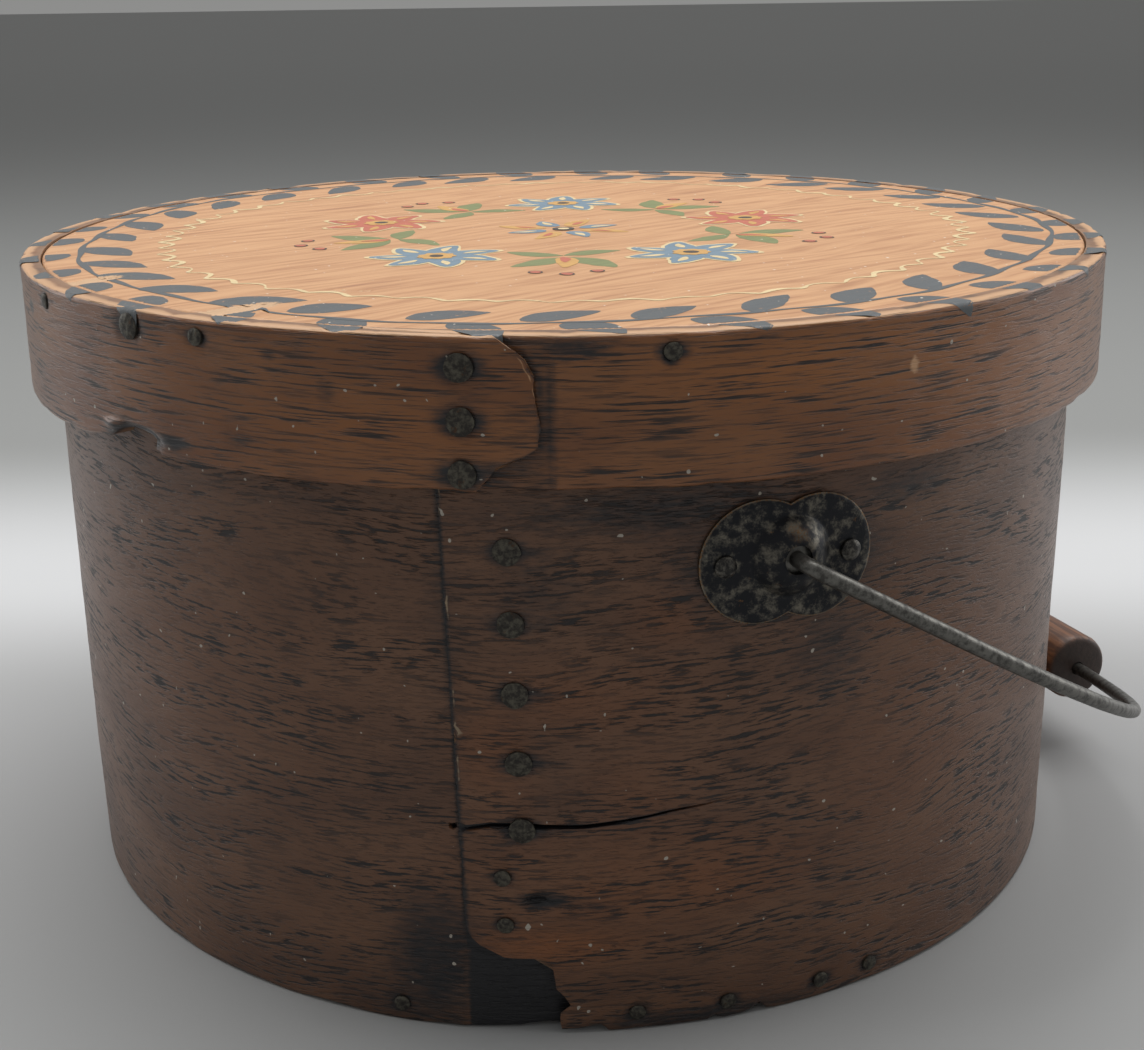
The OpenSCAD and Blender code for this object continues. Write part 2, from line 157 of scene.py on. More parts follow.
class Shader:
    """One material on the Principled shader, built by expressions."""

    def __init__(self, name: str, **fixed: object) -> None:
        """Starts a material.

        Args:
            name: The material's name.
            fixed: Values of the shader's own sockets, with spaces as underscores.
        """
        self.material = bpy.data.materials.new(name)
        self.material.use_nodes = True
        self.tree = self.material.node_tree
        self.tree.nodes.clear()
        self.surface = self.tree.nodes.new("ShaderNodeBsdfPrincipled")
        output = self.tree.nodes.new("ShaderNodeOutputMaterial")
        self.tree.links.new(self.surface.outputs[0], output.inputs[0])
        for key, value in fixed.items():
            self.surface.inputs[key.replace("_", " ")].default_value = value

    def add(self, kind: str, settings: dict, inputs: dict, out: Union[int, str] = 0) -> Value:
        """Adds any node.

        Args:
            kind: The node's type.
            settings: Properties of the node, set first.
            inputs: Values or links of its sockets, by name or number.
            out: The output that is wanted.

        Returns:
            That output.
        """
        node = self.tree.nodes.new(kind)
        for key, value in settings.items():
            setattr(node, key, value)
        for key, value in inputs.items():
            if isinstance(value, Value):
                self.tree.links.new(value.socket, node.inputs[key])
            else:
                node.inputs[key].default_value = value
        return Value(self, node.outputs[out])

    def math(self, operation: str, *values: Number) -> Value:
        """A Math node on one or two values."""
        return self.add("ShaderNodeMath", {"operation": operation}, dict(enumerate(values)))

    def ramp(self, value: Number, low: float, high: float) -> Value:
        """Smooth step of a value from 0 at low to 1 at high."""
        return self.add("ShaderNodeMapRange", {"interpolation_type": "SMOOTHSTEP"}, {0: value, 1: low, 2: high})

    def mix(self, factor: Number, a: object, b: object) -> Value:
        """Colour a, turning to b where the factor is 1."""
        a, b = ((*c, 1.0) if isinstance(c, tuple) else c for c in (a, b))
        return self.add("ShaderNodeMix", {"data_type": "RGBA"}, {0: factor, 6: a, 7: b}, 2)

    def vector(self, x: Number, y: Number, z: Number = 0.0) -> Value:
        """A vector of three values."""
        return self.add("ShaderNodeCombineXYZ", {}, {0: x, 1: y, 2: z})

    def parts(self, vector: Value) -> tuple[Value, Value, Value]:
        """The three values of a vector."""
        node = self.tree.nodes.new("ShaderNodeSeparateXYZ")
        self.tree.links.new(vector.socket, node.inputs[0])
        return Value(self, node.outputs[0]), Value(self, node.outputs[1]), Value(self, node.outputs[2])

    def attribute(self, name: str) -> tuple[Value, Value, Value]:
        """The three values of a piece's own vector attribute."""
        return self.parts(self.add("ShaderNodeAttribute", {"attribute_name": name}, {}, 1))

    def place(self) -> tuple[Value, Value, Value]:
        """Object coordinates in millimetres."""
        x, y, z = self.parts(self.add("ShaderNodeTexCoord", {}, {}, 3))
        return x * (1 / MM), y * (1 / MM), z * (1 / MM)

    def noise(self, at: Value, detail: float = 2.0, rough: float = 0.5, twist: float = 0.0) -> Value:
        """Noise from 0 to 1 with bumps of about one unit."""
        inputs = {"Vector": at, "Scale": 1.0, "Detail": detail, "Roughness": rough, "Distortion": twist}
        return self.add("ShaderNodeTexNoise", {}, inputs)

    def finish(self, colour: Value, rough: Number, height: Number = None, depth: float = 0.0) -> bpy.types.Material:
        """Links the colour, the roughness and a bump of the given depth in mm.

        Returns:
            The finished material.
        """
        links = self.tree.links
        links.new(colour.socket, self.surface.inputs["Base Color"])
        if isinstance(rough, Value):
            links.new(rough.socket, self.surface.inputs["Roughness"])
        else:
            self.surface.inputs["Roughness"].default_value = rough
        if height is not None:
            bump = self.add("ShaderNodeBump", {}, {"Strength": 1.0, "Distance": depth * MM, "Height": height})
            links.new(bump.socket, self.surface.inputs["Normal"])
        return self.material


@dataclass(frozen=True)
class OakFinish:
    """Old oak in a bent strip: growth rings crossed by short dark pores.

    It reads the strip's own attributes: grain (length, height, side) and marks (staining with painted shade and shadow,
    warm, bare with a painted highlight).
    """

    name: str
    light: Colour
    deep: Colour
    pore: Colour
    warm: Colour
    inside: Colour
    bare: Colour
    ring_pitch: float
    wander: float
    wander_size: tuple[float, float]
    dash: tuple[float, float]
    dash_from: float
    dash_to: float
    band_share: float
    rough: float
    coat: float
    stain_and_shade: Colour = (0.006, 0.006, 0.008)

    def make(self) -> bpy.types.Material:
        """Builds the material."""
        s = Shader(self.name, Coat_Weight=self.coat, Coat_Roughness=0.28)
        u, v, side = s.attribute("grain")
        stain_and_shade, warm, bare = s.attribute("marks")
        drift = s.noise(s.vector(u / self.wander_size[0], v / self.wander_size[1]), 1.5) - 0.5
        flow = v + drift * self.wander
        ring = s.noise(s.vector(u / (6 * self.ring_pitch), flow / self.ring_pitch, 3.0), 1.0)
        band = s.ramp(ring, 0.38, 0.6)
        tilt = v + drift * (0.35 * self.wander)
        long = s.noise(s.vector(u / self.dash[0], tilt / self.dash[1]), 3.0, 0.6)
        pore = s.ramp(long, self.dash_from, self.dash_to)
        pore = pore * (band * self.band_share + (1 - self.band_share))
        fine = s.noise(s.vector(u / (0.35 * self.dash[0]), tilt / (0.4 * self.dash[1]), 9.0), 2.0, 0.65)
        hair = s.ramp(fine, 0.55, 0.72)
        tone = s.noise(s.vector(u / 38.0, v / 16.0, 5.0), 2.0)
        colour = s.mix(s.ramp(tone, 0.3, 0.7), self.light, self.deep)
        colour = s.mix(warm * s.ramp(tone + hair * 0.2, 0.15, 0.6), colour, self.warm)
        colour = s.mix(hair * 0.45, colour, self.pore)
        colour = s.mix(pore, colour, self.pore)
        ragged = s.noise(s.vector(u / 5.0, v / 1.1, 7.0), 3.0, 0.6) - 0.5
        # Black from staining, which also paints shade in both laps and shadow under the lid on the body.
        black = s.ramp(stain_and_shade + ragged * 0.75, 0.3, 0.95)
        colour = s.mix(black, colour, self.stain_and_shade)
        # Pale raw wood from the bare mark, which on the body's seam edge is also a painted highlight.
        raw = s.ramp(bare + ragged * 0.6, 0.45, 0.8)
        colour = s.mix(raw, colour, self.bare)
        within = s.mix(s.ramp(long, 0.35, 0.75), self.inside, tuple(0.55 * c for c in self.inside))
        colour = s.mix(side, colour, within)
        x, y, z = s.place()
        speck = s.noise(s.vector(x / 1.6, y / 1.6, z / 1.6), 0.0)
        colour = s.mix(s.ramp(speck, 0.845, 0.87) * (1 - side), colour, (0.42, 0.38, 0.32))
        rough = self.rough + pore * 0.16 + hair * 0.08 + tone * 0.1 + side * 0.2 + raw * 0.2
        height = 0 - pore * 0.8 - hair * 0.35 + raw * 0.5 * fine + ragged * 0.3
        return s.finish(colour, rough, height, 0.22)


@dataclass(frozen=True)
class PineFinish:
    """Varnished pine of the lid's board, with its raw scars, or the same wood under worn paint."""

    name: str
    light: Colour = (0.60, 0.325, 0.150)
    deep: Colour = (0.42, 0.190, 0.075)
    streak: Colour = (0.30, 0.120, 0.055)
    raw: Colour = (0.66, 0.420, 0.240)
    paint: Colour = None
    worn: float = 0.0
    grain_turn: float = math.radians(38)

    def make(self) -> bpy.types.Material:
        """Builds the material."""
        s = Shader(self.name, Coat_Weight=0.25, Coat_Roughness=0.3)
        x, y, z = s.place()
        c, n = math.cos(self.grain_turn), math.sin(self.grain_turn)
        along, across = x * c + y * n, y * c - x * n
        drift = s.noise(s.vector(along / 90.0, across / 40.0), 2.0) - 0.5
        grain = s.noise(s.vector(along / 34.0, (across + drift * 22.0) / 2.6), 3.0, 0.55)
        fine = s.noise(s.vector(along / 9.0, across / 0.5, 4.0), 2.0, 0.6)
        patch = s.noise(s.vector(along / 55.0, across / 22.0, 8.0), 2.0)
        colour = s.mix(s.ramp(grain, 0.35, 0.75), self.light, self.deep)
        streak = s.ramp(grain, 0.58, 0.74) * s.ramp(patch, 0.45, 0.65)
        colour = s.mix(streak * 0.75, colour, self.streak)
        colour = s.mix(s.ramp(fine, 0.5, 0.8) * 0.22, colour, self.streak)
        grit = s.noise(s.vector(x / 1.1, y / 1.1, z / 1.1), 3.0, 0.7)
        rough = 0.34 + fine * 0.14 + patch * 0.1
        height = fine * -0.3 + grit * 0.25
        if self.paint is not None:
            lines = s.noise(s.vector(along / 16.0, across / 0.8, 2.0), 2.0, 0.6)
            tint = s.mix(s.ramp(lines, 0.3, 0.75), self.paint, tuple(0.72 * p for p in self.paint))
            thin = s.ramp(grit * 0.6 + lines * 0.4, 0.5 + 0.22 * (1 - self.worn), 0.62 + 0.22 * (1 - self.worn))
            colour = s.mix(1 - thin, colour, tint)
            rough = rough + 0.12
        marks = s.attribute("marks")
        torn = s.ramp(marks[0] + (grit - 0.5) * 0.7, 0.35, 0.6)
        colour = s.mix(torn, colour, s.mix(fine, self.raw, tuple(0.6 * r for r in self.raw)))
        speck = s.noise(s.vector(x / 1.3, y / 1.3, 1.0), 0.0)
        colour = s.mix(s.ramp(speck, 0.83, 0.86), colour, (0.75, 0.68, 0.58))
        return s.finish(colour, rough + torn * 0.35, height + torn * fine * 2.0, 0.12)


@dataclass(frozen=True)
class MetalFinish:
    """Old metal: dark skin, rubbed bright where it is handled, with rust or brass spots.

    A piece with a marks attribute shows rubbed bright metal where its first value is high; on the ears this also paints
    highlights on the boss's top and along the edge.
    """

    name: str
    dark: Colour
    bright: Colour
    spot: Colour
    metallic: float
    rough: float
    rub: float
    spot_from: float
    grain: float = 2.2
    depth: float = 0.06
    marked: bool = False

    def make(self) -> bpy.types.Material:
        """Builds the material."""
        s = Shader(self.name, Metallic=self.metallic)
        x, y, z = s.place()
        at = s.vector(x / self.grain, y / self.grain, z / self.grain)
        cloud = s.noise(at, 4.0, 0.6)
        pits = s.noise(s.vector(x / 0.45, y / 0.45, z / 0.45), 3.0, 0.65)
        rubbed = s.ramp(cloud + pits * 0.3, 0.75 - self.rub, 1.05 - self.rub)
        spots = s.ramp(s.noise(s.vector(x / 3.1, y / 3.1, z / 3.1 + 5.0), 4.0, 0.7), self.spot_from, self.spot_from + 0.12)
        colour = s.mix(rubbed, self.dark, self.bright)
        colour = s.mix(spots, colour, self.spot)
        rough = self.rough + pits * 0.22 - rubbed * 0.08
        if self.marked:
            # Bright metal from the marks: rubbed metal, and on the ears a painted highlight on the boss and the edge.
            worn = s.attribute("marks")[0]
            worn = s.ramp(worn + (cloud - 0.5) * 0.9, 0.35, 0.95)
            colour = s.mix(worn, colour, s.mix(s.ramp(pits, 0.4, 0.6), self.bright, self.spot))
            rough = rough - worn * 0.12
        return s.finish(colour, rough, pits * 0.6 + cloud, self.depth)


@dataclass(frozen=True)
class TurnedFinish:
    """Oiled wood of the grip, with its grain along one direction and dark end grain."""

    name: str
    along: tuple[float, float, float]
    light: Colour = (0.23, 0.095, 0.040)
    deep: Colour = (0.09, 0.036, 0.018)
    end: Colour = (0.020, 0.012, 0.009)

    def make(self) -> bpy.types.Material:
        """Builds the material."""
        s = Shader(self.name, Coat_Weight=0.15, Coat_Roughness=0.35)
        x, y, z = s.place()
        a, b, c = self.along
        run = x * a + y * b + z * c
        ends = s.attribute("marks")[0]
        grain = s.noise(s.vector(x / 1.5 - run * (a / 1.6), y / 1.5 - run * (b / 1.6), z / 1.5 + run * 0.02), 3.0, 0.6)
        tone = s.noise(s.vector(x / 16.0, y / 16.0, z / 16.0), 2.0)
        colour = s.mix(s.ramp(grain, 0.35, 0.65), self.light, self.deep)
        colour = s.mix(s.ramp(tone, 0.45, 0.75) * 0.5, colour, self.deep)
        colour = s.mix(ends * 0.93, colour, self.end)
        return s.finish(colour, 0.38 + grain * 0.2 + ends * 0.2, grain * -1.0, 0.15)


@dataclass(frozen=True)
class BoardFinish:
    """Bare aged wood of the bottom board."""

    name: str = "bare_board"
    light: Colour = (0.24, 0.145, 0.080)
    deep: Colour = (0.11, 0.060, 0.032)

    def make(self) -> bpy.types.Material:
        """Builds the material."""
        s = Shader(self.name)
        x, y, z = s.place()
        rings = s.noise(s.vector(x / 60.0, y / 3.2, z / 3.2), 3.0, 0.6, 0.4)
        fine = s.noise(s.vector(x / 12.0, y / 0.6, z / 0.6), 2.0, 0.6)
        dirt = s.noise(s.vector(x / 30.0, y / 30.0, z / 30.0), 3.0)
        colour = s.mix(s.ramp(rings, 0.35, 0.7), self.light, self.deep)
        colour = s.mix(s.ramp(dirt, 0.5, 0.75) * 0.5, colour, (0.05, 0.03, 0.02))
        return s.finish(colour, 0.7 + fine * 0.15, fine - rings * 0.5, 0.2)


# Geometry Nodes


class GeoTree:
    """A Geometry Nodes tree with named inputs for its sizes."""

    def __init__(self, name: str, sizes: dict[str, Union[int, float]]) -> None:
        """Starts a tree that takes a geometry and the sizes."""
        self.tree = bpy.data.node_groups.new(name, "GeometryNodeTree")
        face = self.tree.interface
        face.new_socket("Geometry", in_out="INPUT", socket_type="NodeSocketGeometry")
        face.new_socket("Geometry", in_out="OUTPUT", socket_type="NodeSocketGeometry")
        self.sizes = sizes
        for key, value in sizes.items():
            kind = "NodeSocketInt" if isinstance(value, int) else "NodeSocketFloat"
            face.new_socket(key, in_out="INPUT", socket_type=kind)
        self.source = self.tree.nodes.new("NodeGroupInput")
        self.sink = self.tree.nodes.new("NodeGroupOutput")

    def size(self, name: str) -> bpy.types.NodeSocket:
        """The socket of a named input."""
        return self.source.outputs[name]

    def add(self, kind: str, settings: dict, inputs: dict, out: Union[int, str] = 0) -> bpy.types.NodeSocket:
        """Adds a node, with its properties set before its sockets.

        Returns:
            The output that is wanted.
        """
        node = self.tree.nodes.new(kind)
        for key, value in settings.items():
            setattr(node, key, value)
        for key, value in inputs.items():
            for one in value if isinstance(value, list) else [value]:
                if isinstance(one, bpy.types.NodeSocket):
                    self.tree.links.new(one, node.inputs[key])
                else:
                    node.inputs[key].default_value = one
        return node.outputs[out]

    def math(self, operation: str, *values: object) -> bpy.types.NodeSocket:
        """A Math node on one or two values."""
        return self.add("ShaderNodeMath", {"operation": operation}, dict(enumerate(values)))

    def named(self, name: str, kind: str = "FLOAT_VECTOR") -> bpy.types.NodeSocket:
        """A named attribute of the geometry."""
        return self.add("GeometryNodeInputNamedAttribute", {"data_type": kind}, {"Name": name})

    def vector(self, x: object, y: object, z: object) -> bpy.types.NodeSocket:
        """A vector of three values."""
        return self.add("ShaderNodeCombineXYZ", {}, {0: x, 1: y, 2: z})

    def roughened(self, geometry: bpy.types.NodeSocket, amount: object, scale: float, seed: object) -> bpy.types.NodeSocket:
        """The geometry with its points pushed about by noise."""
        here = self.add("GeometryNodeInputPosition", {}, {})
        moved = self.add("ShaderNodeVectorMath", {}, {0: here, 1: self.vector(seed, seed, seed)})
        cloud = self.add("ShaderNodeTexNoise", {}, {"Vector": moved, "Scale": scale, "Detail": 1.0}, "Color")
        centred = self.add("ShaderNodeVectorMath", {"operation": "SUBTRACT"}, {0: cloud, 1: (0.5, 0.5, 0.5)})
        push = self.add("ShaderNodeVectorMath", {"operation": "SCALE"}, {0: centred, "Scale": amount})
        return self.add("GeometryNodeSetPosition", {}, {"Geometry": geometry, "Offset": push})

    def close(self, geometry: bpy.types.NodeSocket, material: bpy.types.Material) -> None:
        """Ends the tree with realized instances and their material."""
        real = self.add("GeometryNodeRealizeInstances", {}, {"Geometry": geometry})
        dressed = self.add("GeometryNodeSetMaterial", {}, {"Geometry": real, "Material": material})
        self.tree.links.new(dressed, self.sink.inputs[0])

    def run(self, seed_mesh: bpy.types.Mesh) -> bpy.types.Mesh:
        """Runs the tree on a mesh.

        Returns:
            The result as a plain mesh.
        """
        carrier = bpy.data.objects.new("carrier", seed_mesh)
        bpy.context.scene.collection.objects.link(carrier)
        modifier = carrier.modifiers.new("shape", "NODES")
        modifier.node_group = self.tree
        for item in self.tree.interface.items_tree:
            if item.in_out == "INPUT" and item.name in self.sizes:
                modifier[item.identifier] = self.sizes[item.name]
        graph = bpy.context.evaluated_depsgraph_get()
        made = bpy.data.meshes.new_from_object(carrier.evaluated_get(graph))
        carrier.modifiers.remove(modifier)
        bpy.data.objects.remove(carrier)
        return made


def points_mesh(points: Sequence[Sequence[float]], edges: bool = False, **attributes: Sequence) -> bpy.types.Mesh:
    """A mesh of bare points in metres, or a line through them, with attributes.

    Args:
        points: The points.
        edges: True for a line from point to point.
        attributes: One number or one triple for each point.

    Returns:
        The mesh.
    """
    mesh = bpy.data.meshes.new("points")
    line = [(i, i + 1) for i in range(len(points) - 1)] if edges else []
    mesh.from_pydata([tuple(p) for p in points], line, [])
    for key, values in attributes.items():
        flat = np.asarray(values, np.float32)
        layer = mesh.attributes.new(key, "FLOAT_VECTOR" if flat.ndim == 2 else "FLOAT", "POINT")
        layer.data.foreach_set("vector" if flat.ndim == 2 else "value", flat.ravel())
    return mesh


def placed(name: str, mesh: bpy.types.Mesh, body: Body, slot: str, *nodes: str, angle: float = 40.0) -> bpy.types.Object:
    """Puts a finished mesh in the scene as a piece.

    Args:
        name: The piece's name.
        mesh: Its mesh, in metres, in place.
        body: What it rides on.
        slot: Not used.
        nodes: CAD nodes that it stands for.
        angle: Edges sharper than this many degrees stay sharp.

    Returns:
        The piece.
    """
    mesh.name = name
    mesh.polygons.foreach_set("use_smooth", [True] * len(mesh.polygons))
    mesh.set_sharp_from_angle(angle=math.radians(angle))
    piece = bpy.data.objects.new(name, mesh)
    bpy.context.scene.collection.objects.link(piece)
    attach(piece, body.value)
    if nodes:
        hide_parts(*nodes)
    log.info("%s: %d faces on %s", name, len(mesh.polygons), body.value)
    return piece


def solid_mesh(points: Array, faces: list, material: bpy.types.Material, recalc: bool = True, **marks: Array) -> bpy.types.Mesh:
    """A mesh from points in millimetres.

    Args:
        points: One row for each vertex.
        faces: Lists of vertex numbers.
        material: Its only material.
        recalc: True to turn every face outwards.
        marks: A triple for each vertex, for each attribute.

    Returns:
        The mesh.
    """
    mesh = bpy.data.meshes.new("solid")
    mesh.from_pydata((np.asarray(points) * MM).tolist(), [], faces)
    for key, values in marks.items():
        layer = mesh.attributes.new(key, "FLOAT_VECTOR", "POINT")
        layer.data.foreach_set("vector", np.asarray(values, np.float32).ravel())
    if recalc:
        work = bmesh.new()
        work.from_mesh(mesh)
        bmesh.ops.recalc_face_normals(work, faces=work.faces)
        work.to_mesh(mesh)
        work.free()
    mesh.materials.append(material)
    return mesh


# Bent bands


@dataclass
class BentBand:
    """A strip bent round on itself, with both of its ends tapered under or over the lap."""

    name: str
    node: str
    body: Body
    slot: str
    radius: float
    thickness: float
    height: float
    foot: float
    lap: float
    step: float
    seam: float
    way: int
    finish: OakFinish
    gap: float = 0.3
    edge: float = 1.0

    def slope(self, s: Array, rise: float, base: float, gap: float) -> Array:
        """Radius of a face that slopes through the lap, as an offset round surface."""
        offset = rise * self.radius / self.lap
        turn = s / self.radius - self.lap / (2 * self.radius)
        face = math.hypot(base, offset) + gap
        return -offset * np.sin(turn) + np.sqrt(face**2 - (offset * np.cos(turn)) ** 2)

    def outer(self, s: Array) -> Array:
        """Radius of the outer face at each length along the strip."""
        around = 2 * math.pi * self.radius
        over = self.slope(s, self.step, self.radius + self.step / 2, 0.0)
        under = self.slope(s - around, self.thickness, self.radius - self.thickness / 2, -self.gap / 2)
        under = np.maximum(under, self.radius - self.thickness + 0.03)
        return np.where(s < self.lap, over, np.where(s > around, np.minimum(under, self.radius), self.radius))

    def inner(self, s: Array) -> Array:
        """Radius of the inner face at each length along the strip."""
        low = self.radius - self.thickness
        cut = self.slope(s, self.thickness, self.radius - self.thickness / 2, self.gap / 2)
        return np.where(s < self.lap, np.maximum(cut, low), low)

    def columns(self) -> Array:
        """Lengths along the strip at which the mesh has a column."""
        around = 2 * math.pi * self.radius
        runs = [
            np.arange(0, 62, 0.8),
            np.arange(62, 0.3 * around, 2.0),
            np.arange(0.3 * around, 0.7 * around, 3.4),
            np.arange(0.7 * around, around - 4, 2.0),
            np.arange(around - 4, around + 34, 1.0),
            np.linspace(around + 34, around + self.lap, 8),
        ]
        return np.concatenate(runs)

    def rows(self) -> Array:
        """Heights of the mesh's rows, a multiple of four and one more."""
        raise NotImplementedError

    def end_shift(self, v: Array) -> Array:
        """How far the strip's outer end is from the seam, at each height."""
        raise NotImplementedError

    def lift(self, arc: Array, v: Array, layer: Array) -> Array:
        """How far broken places raise the surface's points."""
        return np.zeros_like(arc)

    def relief(self, arc: Array, v: Array, layer: Array) -> Array:
        """How far the outer face is pushed in."""
        raise NotImplementedError

    def marks(self, arc: Array, v: Array, layer: Array) -> Array:
        """Stain, warm and bare shares at each point."""
        raise NotImplementedError

    def build(self) -> bpy.types.Object:
        """Builds the strip as one closed mesh.

        Returns:
            The piece that stands for the CAD node.
        """
        s0, v0 = self.columns(), self.rows()
        n, m = len(s0), len(v0)
        pull = 1 - fade(s0, 0, 60)
        around = 2 * math.pi * self.radius
        v = np.broadcast_to(v0, (n, m)).copy()
        s = s0[:, None] + pull[:, None] * self.end_shift(v0)[None, :]
        layer = (s0[:, None] > around - 0.5) * np.ones((1, m))
        arc = wrapped(self.seam * math.pi / 180 * self.radius + self.way * s, self.radius)
        low_edge, high_edge = v0, self.height - v0
        inset = sum(
            self.edge - np.sqrt(np.maximum(self.edge**2 - np.maximum(self.edge - e, 0) ** 2, 0))
            for e in (low_edge, high_edge)
        )
        wear = 1 + Unevenness(9, 0.45, 3).at(arc, v * 0)
        v = v + self.lift(arc, v, layer)
        radius = self.outer(s) - inset[None, :] * wear - self.relief(arc, v, layer)
        pick = np.arange(0, m, 4)[::-1]
        inner = np.broadcast_to(self.inner(s0)[:, None], (n, len(pick)))
        radius = np.maximum(radius, self.inner(s0)[:, None] + 0.02)
        s_all = np.concatenate([s, s[:, pick]], 1)
        v_all = np.concatenate([v, v[:, pick]], 1)
        r_all = np.concatenate([radius, inner], 1)
        side = np.concatenate([np.zeros((n, m)), np.ones((n, len(pick)))], 1)
        turn = math.radians(self.seam) + self.way * s_all / self.radius
        points = np.stack([r_all * np.sin(turn), -r_all * np.cos(turn), self.foot + v_all], -1)
        marks = np.concatenate([self.marks(arc, v, layer), np.zeros((n, len(pick), 3))], 1)
        grain = np.stack([s_all, v_all, side], -1)
        k = m + len(pick)
        faces = []
        for i in range(n - 1):
            a, b = i * k, (i + 1) * k
            faces += [(a + j, a + (j + 1) % k, b + (j + 1) % k, b + j) for j in range(k)]
        for base in (0, (n - 1) * k):
            for j in range(len(pick) - 1):
                back = m + len(pick) - 1 - j
                faces.append([base + 4 * j + q for q in range(5)] + [base + back - 1, base + back])
        mesh = solid_mesh(points.reshape(-1, 3), faces, self.finish.make(), True,
                          grain=grain.reshape(-1, 3), marks=marks.reshape(-1, 3))
        return placed(self.name, mesh, self.body, self.slot, self.node, angle=32)


